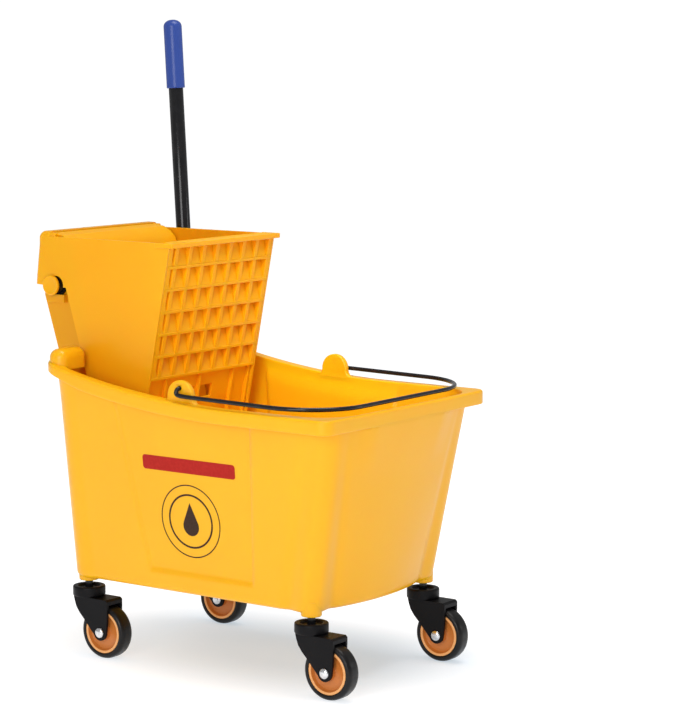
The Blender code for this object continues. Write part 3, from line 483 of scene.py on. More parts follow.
def straight_plan(column, shape, z):
    """(x, y) of a column on an outline at a height, before the bow and on the far side."""
    rear, front, half, rear_radius, front_radius, _ = shape
    kind, _, share = column
    if kind == "front":
        return front, (half - front_radius) * share
    if kind == "front_corner":
        angle = math.radians(90 * share)
        return front - front_radius * (1 - math.cos(angle)), half - front_radius * (1 - math.sin(angle))
    if kind == "side":
        panel_front, panel_rear = line_x(*PANEL_FRONT, z), line_x(*PANEL_REAR, z)
        stops = (front - front_radius, panel_front + PANEL_EDGE, panel_front - PANEL_EDGE, EAR_X + 0.026,
                 EAR_X - 0.026, panel_rear + PANEL_EDGE, panel_rear - PANEL_EDGE, rear + rear_radius)
        segment = int(share)
        return mix(stops[segment], stops[segment + 1], share - segment), half
    if kind == "rear_corner":
        angle = math.radians(90 + 90 * share)
        return rear + rear_radius * (1 + math.cos(angle)), half - rear_radius * (1 - math.sin(angle))
    return rear, (half - rear_radius) * (1 - share)


def bowed(x, y, shape, side):
    """(x, y) with the outline's front bow, on either side."""
    front, half, bow = shape[1], shape[2], shape[5]
    return x - bow * (y / half) ** 2 * max(x / front, 0) ** 2, side * y


def plan(column, shape, z):
    """(x, y) of a column on an outline at a height."""
    return bowed(*straight_plan(column, shape, z), shape, column[1])


def rim_point(column):
    """(x, y) of the rim's edge, straight out from the wall's top."""
    kind, side, _ = column
    rear, front, half, rear_radius, front_radius, _ = RIM_OUTLINE
    x, y = straight_plan(column, TOP_OUTLINE, RIM_Z)
    if kind == "front":
        x = front
    elif kind == "side":
        y = half
    elif kind == "rear":
        x = rear
    elif kind == "front_corner":
        x, y = corner_hit(x, y, front, front_radius, TOP_OUTLINE[1], TOP_OUTLINE[4], -1)
    else:
        x, y = corner_hit(x, y, rear, rear_radius, TOP_OUTLINE[0], TOP_OUTLINE[3], 1)
    return bowed(x, y, RIM_OUTLINE, side)


def corner_hit(x, y, edge_x, radius, wall_x, wall_radius, inward):
    """Where the ray from the wall's corner centre through (x, y) meets the rim's rounded corner."""
    half = RIM_OUTLINE[2]
    start = Vector((wall_x + inward * wall_radius, TOP_OUTLINE[2] - wall_radius))
    corner = Vector((edge_x + inward * radius, half - radius))
    toward = (Vector((x, y)) - start).normalized()
    reaches = [(edge - begin) / step for edge, begin, step in
               ((edge_x, start.x, toward.x), (half, start.y, toward.y)) if abs(step) > 1e-6]
    hit = start + toward * min(reach for reach in reaches if reach > 0)
    if (hit.x - corner.x) * inward < 0 and hit.y > corner.y:
        offset = corner - start
        along = offset.dot(toward)
        hit = start + toward * (along + math.sqrt(radius ** 2 - offset.length_squared + along ** 2))
    return hit


def tub_shape(z):
    """The tapered wall's outline values at a height."""
    return mix(BOTTOM_OUTLINE, TOP_OUTLINE, (z - BUCKET_BOTTOM_Z) / (RIM_Z - BUCKET_BOTTOM_Z))


def rim_height(x):
    """Height of the rim's top at a distance along the bucket."""
    return RIM_Z + RIM_RISE * max((RIM_RISE_START_X - x) / RIM_RISE_RUN, 0) ** 2


def lip_depth(x):
    """Height of the lip's face at a distance along the bucket."""
    return mix(LIP_REAR_DEPTH, LIP_DEPTH, smooth(x, *LIP_TAPER_X))


def panel_share(x, z):
    """1 inside the side's recessed panel, 0 outside, soft between."""
    inside = smooth(line_x(*PANEL_FRONT, z) - x, -PANEL_EDGE, PANEL_EDGE)
    inside *= smooth(x - line_x(*PANEL_REAR, z), -PANEL_EDGE, PANEL_EDGE)
    return inside * smooth(z - PANEL_FOOT_Z, -PANEL_EDGE, PANEL_EDGE)


def tub_ring(heights, depth=0.0, tops=None):
    """Ring on the tub's wall, one height for each column, pushed inwards by a depth.

    On the inside, which the rim's tops are given for, nothing shows of the pilasters, nor of the panel's top.
    """
    flat = [Vector(plan(column, tub_shape(z), z)) for column, z in zip(COLUMNS, heights)]
    ring = []
    for i, (column, here, z) in enumerate(zip(COLUMNS, flat, heights)):
        run = (flat[(i + 1) % len(flat)] - flat[i - 1]).normalized()
        push = -depth
        if column[0] == "side":
            fade = smooth(z, tops[i] - 0.030, tops[i] - 0.012) if tops else 0
            push -= PANEL_DEPTH * panel_share(here.x, z) * (1 - fade)
        if not tops:
            push += pilaster_push(column[1], here, run, z)
        ring.append((here.x + run.y * push, here.y - run.x * push, z))
    return ring


def pilaster_push(side, here, run, z):
    """How far the pilasters push the wall out at a point, where it runs along a direction."""
    fall = (PILASTER_TOP_Z - z) / (PILASTER_TOP_Z - BUCKET_BOTTOM_Z)
    push = 0
    for kind, share, height in PILASTERS:
        away = here - Vector(plan((kind, side, share), tub_shape(z), z))
        if away.length < PILASTER_NEAR:
            height *= mix(PILASTER_TOP_SHARE, 1.0, max(fall, 0))
            push += height * (1 - smooth(abs(away.dot(run)), PILASTER_FLAT, PILASTER_REACH))
    return push


def quarter(size, angles):
    """How far a rounded edge of a size stands back from its two faces, at angles in degrees."""
    return [(size * (1 - math.cos(math.radians(a))), size * (1 - math.sin(math.radians(a)))) for a in angles]


def outer_wall(mouths):
    """Rings up the outside, from under the bottom to the lip's lower edge."""
    rings = [tub_ring([BUCKET_BOTTOM_Z + rise] * len(COLUMNS), depth)
             for rise, depth in quarter(BOTTOM_EDGE, range(0, 91, 15))]
    foot = BUCKET_BOTTOM_Z + BOTTOM_EDGE
    for k in range(1, OUTER_STEPS + 1):
        rings.append(tub_ring([mix(foot, mouth, k / OUTER_STEPS) for mouth in mouths]))
    return rings


def swallow_lip(rings, rim, mouths, open_share):
    """Swell the wall in the middle of the front, where it swallows the lip's lower edge."""
    overhangs = [math.dist(edge, point[:2]) for edge, point in zip(rim, rings[-1])]
    swell = [(over - LEAST_GAP) * (1 - share) for over, share in zip(overhangs, open_share)]
    for ring in rings[-SWOLLEN_RINGS:]:
        for i, (x, y, z) in enumerate(ring):
            if swell[i] > 0:
                toward = (Vector(rim[i]) - Vector((x, y))).normalized()
                gain = swell[i] * smooth(z, mouths[i] - LIP_MERGE_HEIGHT, mouths[i])
                ring[i] = (x + toward.x * gain, y + toward.y * gain, z)


def lip_hollow(mouth_ring, rim, tops, mouths, thick, open_share):
    """Rings of the wall inside the hollow under the lip, and the heights that the hollow ends at."""
    # Where the wall comes close to the rim the hollow ends lower, before the two meet.
    necks = [math.dist(edge, tub[:2]) for edge, tub in zip(rim, tub_ring([t - LIP_THICKNESS for t in tops]))]
    lowered = [max(LIP_THICKNESS + NECK_GAP - neck, 0) / WALL_LEAN for neck in necks]
    roofs = [mix(mouth + t / 2 + 0.0003, top - LIP_THICKNESS - drop, share)
             for mouth, t, top, drop, share in zip(mouths, thick, tops, lowered, open_share)]
    rings = [tub_ring([mix(mouth, roof, k / 3) for mouth, roof in zip(mouths, roofs)]) for k in (1, 2, 3)]
    for i, (share, edge) in enumerate(zip(open_share, rim)):
        if share < 0.999 and edge[0] > 0:
            for ring in rings:
                ring[i] = (*mix(ring[i][:2], mouth_ring[i][:2], 1 - share), ring[i][2])
    return rings, roofs


def lip_rings(rim, tops, mouths, thick, roofs):
    """Rings out of the hollow, round the lip's lower edge, up its face and in over its top."""
    inner_edge = tub_ring(tops, WALL, tops)

    def edge_ring(distances, heights):
        """Ring at distances from the rim's edge towards the inner wall."""
        ring = []
        for edge, inner, distance, z in zip(rim, inner_edge, distances, heights):
            point = Vector(edge) + (Vector(inner[:2]) - Vector(edge)).normalized() * distance
            ring.append((point.x, point.y, z))
        return ring

    count = len(COLUMNS)
    feet = [mouth + t / 2 for mouth, t in zip(mouths, thick)]
    rings = [edge_ring([t + 0.0008 for t in thick], roofs),
             edge_ring(thick, [mix(roof, foot, 0.3) for roof, foot in zip(roofs, feet)])]
    for angle in range(180, 361, 30):
        turn, rise = 1 - math.cos(math.radians(angle)), 1 + math.sin(math.radians(angle))
        rings.append(edge_ring([t / 2 * turn for t in thick],
                               [mouth + t / 2 * rise for mouth, t in zip(mouths, thick)]))
    for share in (0.25, 0.5, 0.75):
        rings.append(edge_ring([0] * count,
                               [mix(foot, top - LIP_CROWN, share) for foot, top in zip(feet, tops)]))
    for inset, drop in quarter(LIP_CROWN, range(0, 91, 15)):
        rings.append(edge_ring([inset] * count, [top - drop for top in tops]))
    reaches = [math.dist(edge, inner[:2]) for edge, inner in zip(rim, inner_edge)]
    for share in (0.33, 0.67, 1.0):
        rings.append(edge_ring([mix(LIP_CROWN, reach - LIP_INNER, share) for reach in reaches], tops))
    for inset, drop in quarter(LIP_INNER, range(72, -1, -18)):
        rings.append(edge_ring([reach - inset for reach in reaches], [top - drop for top in tops]))
    return rings


def inner_wall(tops):
    """Rings down the inside to the rounded edge of the floor."""
    floor_edge = BUCKET_FLOOR_Z + BOTTOM_EDGE
    rings = [tub_ring([mix(top - LIP_INNER, floor_edge, k / INNER_STEPS) for top in tops], WALL, tops)
             for k in range(1, INNER_STEPS + 1)]
    for inset, rise in quarter(BOTTOM_EDGE, range(18, 91, 18)):
        rings.append(tub_ring([BUCKET_FLOOR_Z + rise] * len(COLUMNS), WALL + inset, tops))
    return rings


def tub_rings():
    """Rings of the whole tub, from under its bottom up the outside, over the lip and down the inside."""
    rim = [rim_point(column) for column in COLUMNS]
    tops = [rim_height(x) for x, _ in rim]
    mouths = [top - lip_depth(x) for top, (x, _) in zip(tops, rim)]
    open_share = [smooth(abs(y), *LIP_MERGE_Y) if x > 0 else 1.0 for x, y in rim]
    rings = outer_wall(mouths)
    swallow_lip(rings, rim, mouths, open_share)
    gaps = [max(math.dist(edge, point[:2]), LEAST_GAP) for edge, point in zip(rim, rings[-1])]
    thick = [min(LIP_THICKNESS, 0.9 * gap) for gap in gaps]
    hollow, roofs = lip_hollow(rings[-1], rim, tops, mouths, thick, open_share)
    return rings + hollow + lip_rings(rim, tops, mouths, thick, roofs) + inner_wall(tops)


def make_tub():
    """The tapered tub with its rolled lip, side panels and corner pilasters."""
    shape = bmesh.new()
    skin(shape, tub_rings())
    make_piece("bucket_tub", shape, YELLOW, "bucket", ["bucket_body"], 50)


def cut_away(obj, shape):
    """Take a bmesh's shape away from an object's mesh, modifiers included."""
    cutter = add_object("cutter", as_mesh("cutter", shape))
    modifier = obj.modifiers.new("cut", "BOOLEAN")
    modifier.operation = "DIFFERENCE"
    modifier.solver = "EXACT"
    modifier.object = cutter
    bpy.context.view_layer.update()
    obj.data = bpy.data.meshes.new_from_object(obj.evaluated_get(bpy.context.evaluated_depsgraph_get()))
    obj.modifiers.clear()
    bpy.data.objects.remove(cutter, do_unlink=True)
    shade(obj.data)


def make_ears():
    """Round-topped tabs on the side rims that the bail hooks through."""
    flare, foot_z, sunk = 0.009, RIM_Z + 0.0014, 0.0085
    sine = (foot_z + flare - EAR_Z) / (EAR_RADIUS + flare)
    reach = (EAR_RADIUS + flare) * math.sqrt(1 - sine * sine)
    meet = math.degrees(math.asin(sine))
    crown = arc((0, EAR_Z), EAR_RADIUS, meet, 180 - meet, 30)
    left = arc((-reach, foot_z + flare), flare, meet, -90, 8)
    right = arc((reach, foot_z + flare), flare, -90, -180 - meet, 8)
    foot = [(-reach, foot_z - sunk), (reach, foot_z - sunk)]
    outline = [(EAR_X + x, z) for x, z in crown + left + foot + right]
    hole_radius, hole_start, hole_end = 0.0036, -0.004, 0.006
    bore = [(0, hole_start), (hole_radius, hole_start), (hole_radius, hole_end), (0, hole_end)]
    for name, side in SIDES.items():
        shape = bmesh.new()
        add_plate(shape, outline, side * EAR_INNER_Y, side * EAR_OUTER_Y)
        ear = make_piece(f"{name}_bail_ear", shape, YELLOW, "bucket")
        bevel(ear, 0.0024, 4, 50)
        hole = bmesh.new()
        add_turned(hole, bore, 32, along_y(EAR_X, side * 0.1750, BAIL_Z) @ Matrix.Diagonal((1, 1, side, 1)))
        cut_away(ear, hole)


PAD_REAR_X, PAD_FRONT_X, PAD_INNER_Y, PAD_OUTER_Y = -0.2080, -0.1790, 0.124, 0.1815
PAD_TOP_Z, PAD_CROWN, PAD_CORNER = 0.438, 0.0125, 0.0143


def pad_ring(side, z, inset=0.0):
    """Rounded rectangle round a pad at a height, set in from the pad's foot."""
    y_low, y_high = sorted((side * PAD_INNER_Y, side * PAD_OUTER_Y))
    y_low, y_high = y_low + inset, y_high - inset
    x_low, x_high = PAD_REAR_X + inset, PAD_FRONT_X - inset
    corners = [(x_high, y_high), (x_low, y_high), (x_low, y_low), (x_high, y_low)]
    return [(x, y, z) for x, y in rounded(corners, PAD_CORNER - inset, 8)]


def make_pads():
    """Soft mounds on the rear corners that steer the wringer on to the rim."""
    steepest = 84
    for name, side in SIDES.items():
        rings = [pad_ring(side, z) for z in (0.4100, PAD_TOP_Z - PAD_CROWN)]
        for k in range(1, 9):
            angle = math.radians(steepest * k / 8)
            z = PAD_TOP_Z - PAD_CROWN + PAD_CROWN * math.sin(angle) / math.sin(math.radians(steepest))
            rings.append(pad_ring(side, z, PAD_CROWN * (1 - math.cos(angle))))
        shape = bmesh.new()
        skin(shape, rings)
        make_piece(f"rear_{name}_pad", shape, YELLOW, "bucket")


def make_legs():
    """Round feet under the pilasters that the caster stems go into."""
    profile = [(0.0058, 0.128), (0.0058, 0.1085), (0.0063, 0.1080), (0.0120, 0.1080), (0.0132, 0.1083),
               (0.0139, 0.1092), (0.0140, 0.1105), (0.0143, 0.128)]
    for end, x in STEM_X.items():
        for name, side in SIDES.items():
            turned(f"{end}_{name}_leg", profile, YELLOW, "bucket", Matrix.Translation((x, side * STEM_Y, 0)),
                   (), 48, True)


# ---- decals
def side_point(x, z, lift):
    """Point on the near side's recessed panel, lifted off its surface."""
    foot, top = (BOTTOM_OUTLINE[2], BUCKET_BOTTOM_Z), (TOP_OUTLINE[2], RIM_Z)
    slope = math.atan2(top[0] - foot[0], top[1] - foot[1])
    half = line_x(foot, top, z) - PANEL_DEPTH + lift * math.cos(slope)
    return (x, -half, z - lift * math.sin(slope))


def add_decal(shape, outline, inner=None):
    """Thin raised print from an (x, z) outline, or between two outlines of equal length."""
    lift, sunk = 0.00022, -0.0004
    layers = [[[shape.verts.new(side_point(x, z, depth)) for x, z in loop] for depth in (lift, sunk)]
              for loop in ([outline, inner] if inner else [outline])]
    for first, second in layers + (list(zip(*layers)) if inner else []):
        add_band(shape, first, second)
    if not inner:
        shape.faces.new(layers[0][0])
        shape.faces.new(list(reversed(layers[0][1])))


def circle(centre, radius, count=72):
    """Points round a circle."""
    return arc(centre, radius, 0, 360 - 360 / count, count - 1)


def make_decals():
    """A plain red bar, and below it a dark double ring with a drop in it."""
    bar = bmesh.new()
    low_x, high_x, low_z, high_z = -0.050, 0.110, 0.2835, 0.3035
    corners = [(low_x, low_z), (high_x, low_z), (high_x, high_z), (low_x, high_z)]
    add_decal(bar, rounded(corners, 0.0045, 8))
    make_piece("red_bar_print", bar, RED_INK, "bucket")

    badge = bmesh.new()
    x, z = 0.027, 0.2170
    for radius, width in ((0.051, 0.0016), (0.038, 0.0026)):
        add_decal(badge, circle((x, z), radius), circle((x, z), radius - width))
    drop_radius, drop_low, tip = 0.0135, 0.007, 0.0255
    add_decal(badge, arc((x, z - drop_low), drop_radius, -210, 30, 28) + [(x, z + tip)])
    make_piece("ring_and_drop_print", badge, DARK_INK, "bucket")


# ---- bail
def make_bail():
    """Wire handle lying forward on the front rim, hooked through both ears."""
    front_x, side_y, corner, drop_z, rest_z = 0.271, 0.1845, 0.088, 0.3925, 0.3885
    hook = [(0.0300, 0.1715, BAIL_Z), (0.0300, 0.1760, BAIL_Z), (0.0300, 0.1800, BAIL_Z),
            (0.0296, 0.1832, 0.4005), (0.0290, side_y, 0.3970), (0.0300, side_y, 0.3942),
            (0.0345, side_y, 0.3927)]
    points = catmull(hook, 6)
    bend = arc((front_x - corner, side_y - corner), corner, 90, 0, 36)
    run = [(mix(0.046, front_x - corner - 0.002, k / 20), side_y) for k in range(21)]
    front = [(front_x, mix(bend[-1][1] - 0.004, 0.0, k / 16)) for k in range(17)]
    for x, y in run + bend + front:
        points.append(Vector((x, y, mix(drop_z, rest_z, (x - EAR_X) / (front_x - EAR_X)))))
    mirrored = [Vector((p.x, -p.y, p.z)) for p in reversed(points[:-1])]
    tube_along("bail_wire", points + mirrored, 0.003, BLACK_STEEL, "bail", ["bail_handle"])


# ---- casters
def make_caster(end, near_or_far):
    """One swivel caster: stem, cap, fork, wheel with its ringed hub and rounded tyre, bolt and nut."""
    name = f"{end}_{near_or_far}"
    x, y = STEM_X[end], SIDES[near_or_far] * STEM_Y
    upright = Matrix.Translation((x, y, 0))
    axle = along_y(x + TRAIL, y, WHEEL_RADIUS)

    stem = [(0, 0.0723), (0.0080, 0.0723), (0.0085, 0.0728), (0.0085, 0.0753), (0.0055, 0.0753),
            (0.0055, 0.149), (0.0045, 0.150), (0, 0.150)]
    turned(f"{name}_stem_rod", stem, BLACK_STEEL, "bucket", upright, [f"{name}_stem"], 32)
    cap = [(0.0061, 0.0858), (0.0220, 0.0858), (0.0227, 0.0866), (0.0230, 0.0884), (0.0230, 0.0972),
           (0.0228, 0.0986), (0.0222, 0.0996), (0.0211, 0.1000), (0.0170, 0.1000), (0.0160, 0.0996),
           (0.0152, 0.0978), (0.0145, 0.0967), (0.0105, 0.0965), (0.0061, 0.0965)]
    turned(f"{name}_swivel_collar", cap, BLACK_PLASTIC, f"{name}_caster", upright, [f"{name}_swivel_cap"],
           64, True)
    refined(f"{name}_fork", BLACK_PLASTIC, 0.0013, 4, 30)

    hub = [(0.0302, 0.0096), (0.0300, 0.0106), (0.0293, 0.0111), (0.0272, 0.0111), (0.0264, 0.0106),
           (0.0258, 0.0094), (0.0248, 0.0055), (0.0240, 0.0049), (0.0116, 0.0049), (0.0107, 0.0055),
           (0.0096, 0.0112), (0.0092, 0.0119), (0.0086, 0.0122), (0.0042, 0.0122)]
    wheel = turned(f"{name}_wheel_hub", both_faces(hub), COPPER, f"{name}_wheel", axle, [f"{name}_hub"],
                   80, True)
    # Faces past the hub's rim radius take the paler copy: a painted highlight on the ring.
    wheel.data.materials.append(COPPER_HIGHLIGHT_RIM)
    for face in wheel.data.polygons:
        across = axle.inverted() @ face.center
        if math.hypot(across.x, across.y) > HUB_RIM_RADIUS:
            face.material_index = 1
    tyre = [(0.0304, 0.0104), (0.0308, 0.0112), (0.0316, 0.0116), (0.0332, 0.0118), (0.0348, 0.0114),
            (0.0362, 0.0103), (0.0373, 0.0085), (0.0379, 0.0062), (0.0380, 0.0036)]
    turned(f"{name}_wheel_tyre", both_faces(tyre), RUBBER, f"{name}_wheel", axle, [f"{name}_tyre"], 96, True)

    bolt = [(0, -0.0206), (0.0028, -0.0204), (0.0050, -0.0197), (0.0066, -0.0187), (0.0073, -0.0176),
            (0.0073, -0.0168), (0.0039, -0.0168), (0.0039, 0.0216), (0.0035, 0.0222), (0, 0.0222)]
    turned(f"{name}_axle_pin", bolt, ZINC, f"{name}_caster", axle, [f"{name}_axle_bolt"], 40)
    refined(f"{name}_axle_nut", ZINC, 0.0006, 2, 25)


# ---- wringer
def housing_surface():
    """Open surface of the side walls and the hood, its rear corners rounded and its faces outwards."""
    shape = bmesh.new()
    hood = [(-0.2850, 0.5195), (-0.2838, 0.5330), (-0.2782, 0.5770)]
    hood += arc((-0.2672, 0.5842), 0.0112, 168, 92, 8) + [(-0.2560, 0.5952)]
    near = [shape.verts.new((x, -BOX_HALF_WIDTH, z)) for x, z in hood]
    far = [shape.verts.new((x, BOX_HALF_WIDTH, z)) for x, z in hood]
    for i in range(len(hood) - 1):
        shape.faces.new((near[i], far[i], far[i + 1], near[i + 1]))
    front_foot = (line_x(FRONT_FOOT, FRONT_TOP, BOX_BOTTOM_Z), BOX_BOTTOM_Z)
    for corners, y in ((near, -BOX_HALF_WIDTH), (far, BOX_HALF_WIDTH)):
        rest = [shape.verts.new((x, y, z)) for x, z in (FRONT_TOP, front_foot, REAR_LOWER, REAR_UPPER)]
        shape.faces.new(corners + rest)
    bmesh.ops.recalc_face_normals(shape, faces=shape.faces)
    corner_edges = [e for e in shape.edges if len(e.link_faces) == 2
                    and e.verts[0].co.y == e.verts[1].co.y]
    bmesh.ops.bevel(shape, geom=corner_edges, offset=0.0070, segments=6, profile=0.5, affect="EDGES")
    outside = max(shape.faces, key=lambda face: face.calc_area())
    if outside.normal.y * outside.calc_center_median().y < 0:
        bmesh.ops.reverse_faces(shape, faces=shape.faces)
    return shape


def cut_housing(housing):
    """Cut the shaft's slots, the press plate's pin holes and the hood's three notches."""
    holes = bmesh.new()
    length, radius, pin_hole_radius = 0.0075, 0.0134, 0.0043
    slot = arc((SHAFT[0] + length, SHAFT[1]), radius, -90, 90, 14) + arc(SHAFT, radius, 90, 270, 14)
    for side in SIDES.values():
        for outline in (slot, circle(PLATE_PIN, pin_hole_radius, 24)):
            add_plate(holes, outline, side * 0.108, side * 0.128)
    notch_half = 0.006
    for y in (-0.038, 0.027, 0.089):
        add_box(holes, (-0.2700, y - notch_half, 0.585), (-0.2625, y + notch_half, 0.602))
    cut_away(housing, holes)


def make_housing():
    """Side walls and hood in one thin shell, a web at each end of the hood, and the chute's rear wall."""
    housing = make_piece("wringer_shell", housing_surface(), WRINGER_YELLOW, "wringer", ["wringer_housing"],
                         40, False)
    solid = housing.modifiers.new("wall", "SOLIDIFY")
    solid.thickness = 0.004
    solid.offset = -1
    solid.use_even_offset = True
    solid.use_quality_normals = True
    cut_housing(housing)
    bevel(housing, 0.0008, 2, 45)

    for name, side in SIDES.items():
        web = bmesh.new()
        add_box(web, (-0.2640, side * 0.1080, 0.5790), (-0.2470, side * 0.1165, 0.5932))
        bevel(make_piece(f"{name}_hood_web", web, WRINGER_YELLOW, "wringer"), 0.0020, 3)

    rear = bmesh.new()
    top_z = 0.494
    top = (line_x(REAR_LOWER, REAR_UPPER, top_z), top_z)
    lean = math.atan2(REAR_UPPER[0] - REAR_LOWER[0], REAR_UPPER[1] - REAR_LOWER[1])
    front = [(x + WALL * math.cos(lean), z - WALL * math.sin(lean)) for x, z in (top, REAR_LOWER)]
    add_plate(rear, [REAR_LOWER, top] + front, WALL - BOX_HALF_WIDTH, BOX_HALF_WIDTH - WALL)
    bevel(make_piece("chute_rear_wall", rear, WRINGER_YELLOW, "wringer"), 0.0008, 2)


FRONT_ANGLE = math.atan2(FRONT_TOP[0] - FRONT_FOOT[0], FRONT_TOP[1] - FRONT_FOOT[1])
FRONT_LENGTH = math.dist(FRONT_TOP, FRONT_FOOT)
ON_FRONT = Matrix.Translation((FRONT_FOOT[0], 0, FRONT_FOOT[1])) @ Matrix.Rotation(FRONT_ANGLE, 4, "Y")


def make_grid():
    """Front grid: six rows of louvred pockets between ribs, with a drain slot at the top of each."""
    half, depth, rib, bar, rows, columns = 0.1137, 0.013, 0.0042, 0.0072, 6, 7
    low, length, near_strip = 0.0003, FRONT_LENGTH - 0.0010, 0.0125
    row_pitch = (length - low - rib) / rows
    column_pitch = (2 * half - near_strip - bar) / columns
    shape = bmesh.new()
    for row in range(rows + 1):
        z = low + row * row_pitch
        add_box(shape, (-depth, -half, z), (0.0009, half, z + rib))
    for y in [-half] + [-half + near_strip + k * column_pitch for k in range(columns + 1)]:
        add_box(shape, (-depth, y, low + 0.0005), (0, y + bar, length - 0.0005))
    slab, slope, top = 0.0018, 0.0092, -0.0006
    for row in range(rows):
        z0 = low + row * row_pitch + rib - 0.0006
        z1 = low + (row + 1) * row_pitch - rib
        outline = [(top, z0), (-slope, z1), (-slope - slab, z1), (top - slab, z0)]
        add_plate(shape, outline, -half + 0.0005, half - 0.0005)
    shape.transform(ON_FRONT)
    # The grid takes the orange copy of the yellow plastic, with painted bounce light.
    bevel(make_piece("louvred_grid", shape, INTERREFLECTED_ORANGE, "wringer", ["front_grid"]), 0.0005, 2)


HANGER_INSET = 0.984        # share of its width, which sets the hanger's sides in from the box's


def make_wringer():
    """The wringer's box, its front, the bracket it hangs by and the press plate."""
    make_housing()
    make_grid()
    # The lower front panel, drain grate and press plate take the orange copy of the yellow plastic, with
    # painted bounce light.
    refined("lower_front_panel", INTERREFLECTED_ORANGE, 0.0005, 2)
    refined("front_collar", WRINGER_YELLOW, 0.0012, 3)
    refined("drain_grate", INTERREFLECTED_ORANGE, 0.0005, 2)
    # The hanger takes the darker copy of the yellow plastic: painted shade.
    hanger = refined("hanger_bracket", HANGER_SHADED_YELLOW, 0.0008, 3)
    hanger.data.transform(Matrix.Diagonal((1, HANGER_INSET, 1, 1)))
    refined("press_plate", INTERREFLECTED_ORANGE, 0.0010, 3)
    pin = [(0, -0.1178), (0.0037, -0.1178), (0.0040, -0.1174), (0.0040, 0.1174), (0.0037, 0.1178),
           (0, 0.1178)]
    turned("press_plate_pin", pin, ZINC, "wringer", along_y(PLATE_PIN[0], 0, PLATE_PIN[1]),
           ["plate_hinge_pin"], 32)


# ---- squeezing gear and lever
def make_gear():
    """Cross shaft with its cap, bushes, crank arms, rollers and return spring."""
    shaft_at = along_y(SHAFT[0], 0, SHAFT[1])
    rod = [(0, -0.1182), (0.0125, -0.1182), (0.0125, 0.1350), (0.0118, 0.1360), (0, 0.1360)]
    turned("cross_shaft_rod", rod, BLACK_STEEL, "lever", shaft_at, ["cross_shaft"], 64)
    cap = [(0, -0.1221), (0.0098, -0.1221), (0.0108, -0.1224), (0.0118, -0.1230), (0.0130, -0.1230),
           (0.0139, -0.1224), (0.0143, -0.1213), (0.0143, -0.1190), (0.0140, -0.1185), (0, -0.1185)]
    turned("shaft_end_button", cap, WRINGER_YELLOW, "lever", shaft_at, ["shaft_end_cap"], 64)
    for name, side in SIDES.items():
        bush = [(0.0128, 0.0975), (0.0176, 0.0975), (0.0180, 0.0979), (0.0180, 0.0994), (0.0176, 0.0997),
                (0.0152, 0.0997), (0.0152, 0.1056), (0.0148, 0.1060), (0.0128, 0.1060)]
        turned(f"{name}_bearing_bush", [(r, side * h) for r, h in bush], BLACK_PLASTIC, "wringer", shaft_at,
               [f"{name}_shaft_bush"], 56, True)
        refined(f"{name}_crank_arm", BLACK_STEEL, 0.0006, 2)
        roller = [(0.0028, -0.0053), (0.0058, -0.0053), (0.0065, -0.0047), (0.0065, 0.0047),
                  (0.0058, 0.0053), (0.0028, 0.0053)]
        middle, _ = middle_and_half(f"{name}_crank_arm_roller")
        turned(f"{name}_cam_roller", roller, BLACK_PLASTIC, "lever", along_y(*middle),
               [f"{name}_crank_arm_roller"], 40, True)
        middle, half = middle_and_half(f"{name}_crank_arm_pin")
        pin = [(0, -half), (0.0021, -half), (0.0025, 0.0004 - half), (0.0025, half - 0.0004), (0.0021, half),
               (0, half)]
        turned(f"{name}_cam_roller_pin", pin, ZINC, "lever", along_y(*middle), [f"{name}_crank_arm_pin"], 24)

    turns, steps, coil, start_y, pitch = 3, 36, 0.0165, 0.0780, 0.0045
    points = [Vector((SHAFT[0] - 0.020, start_y, SHAFT[1] + 0.030))]
    for i in range(turns * steps + 1):
        angle = math.radians(150) - 2 * math.pi * i / steps
        points.append(Vector((SHAFT[0] + coil * math.cos(angle), start_y + pitch * i / steps,
                              SHAFT[1] + coil * math.sin(angle))))
    points.append(Vector((SHAFT[0] - 0.022, start_y + pitch * turns, SHAFT[1] + 0.032)))
    tube_along("return_spring_coil", points, 0.0012, SPRING, "wringer", ["return_spring"], 4)


def middle_and_half(node):
    """Middle of a CAD node's box, and half its width along Y."""
    low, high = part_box(node)
    return (low + high) / 2, (high.y - low.y) / 2


def make_lever():
    """Socket, tube, clamp bolt and the dipped vinyl grip."""
    foot = Matrix.Translation((LEVER_FOOT[0], LEVER_Y, LEVER_FOOT[1]))
    up_lever = foot @ Matrix.Rotation(LEVER_LEAN, 4, "Y")
    refined("lever_socket", BLACK_PLASTIC, 0.0010, 3, 40)
    tube = [(0, 0), (0.0100, 0), (TUBE_RADIUS, 0.0008), (TUBE_RADIUS, TUBE_LENGTH - 0.001),
            (0.0100, TUBE_LENGTH), (0, TUBE_LENGTH)]
    turned("lever_tube_rod", tube, BLACK_STEEL, "lever", up_lever, ["lever_tube"], 64)
    middle, half = middle_and_half("lever_clamp_bolt")
    bolt = [(0, -half), (0.0026, -half), (0.0030, 0.0004 - half), (0.0030, half - 0.0065),
            (0.0056, half - 0.0065), (0.0056, half - 0.0030), (0.0048, half - 0.0012), (0.0030, half),
            (0, half)]
    turned("lever_clamp_screw", bolt, ZINC, "lever", along_y(*middle), ["lever_clamp_bolt"], 32)

    bore, bore_end = 0.01105, TUBE_LENGTH + 0.0003
    start = bore_end - GRIP_LENGTH + 0.0090
    top = start + GRIP_LENGTH
    shell = [(0, top)]
    for k in range(1, 9):
        angle = math.radians(90 * k / 8)
        shell.append((GRIP_RADIUS * math.sin(angle) ** 0.9, top - GRIP_RADIUS * 0.75 * (1 - math.cos(angle))))
    shell += [(GRIP_RADIUS, start + 0.0022), (GRIP_RADIUS + 0.0002, start + 0.0012),
              (GRIP_RADIUS - 0.0004, start + 0.0002), (GRIP_RADIUS - 0.0012, start)]
    turned("vinyl_grip", shell + [(bore, start), (bore, bore_end), (0, bore_end)], BLUE, "lever", up_lever,
           ["lever_grip"], 72)


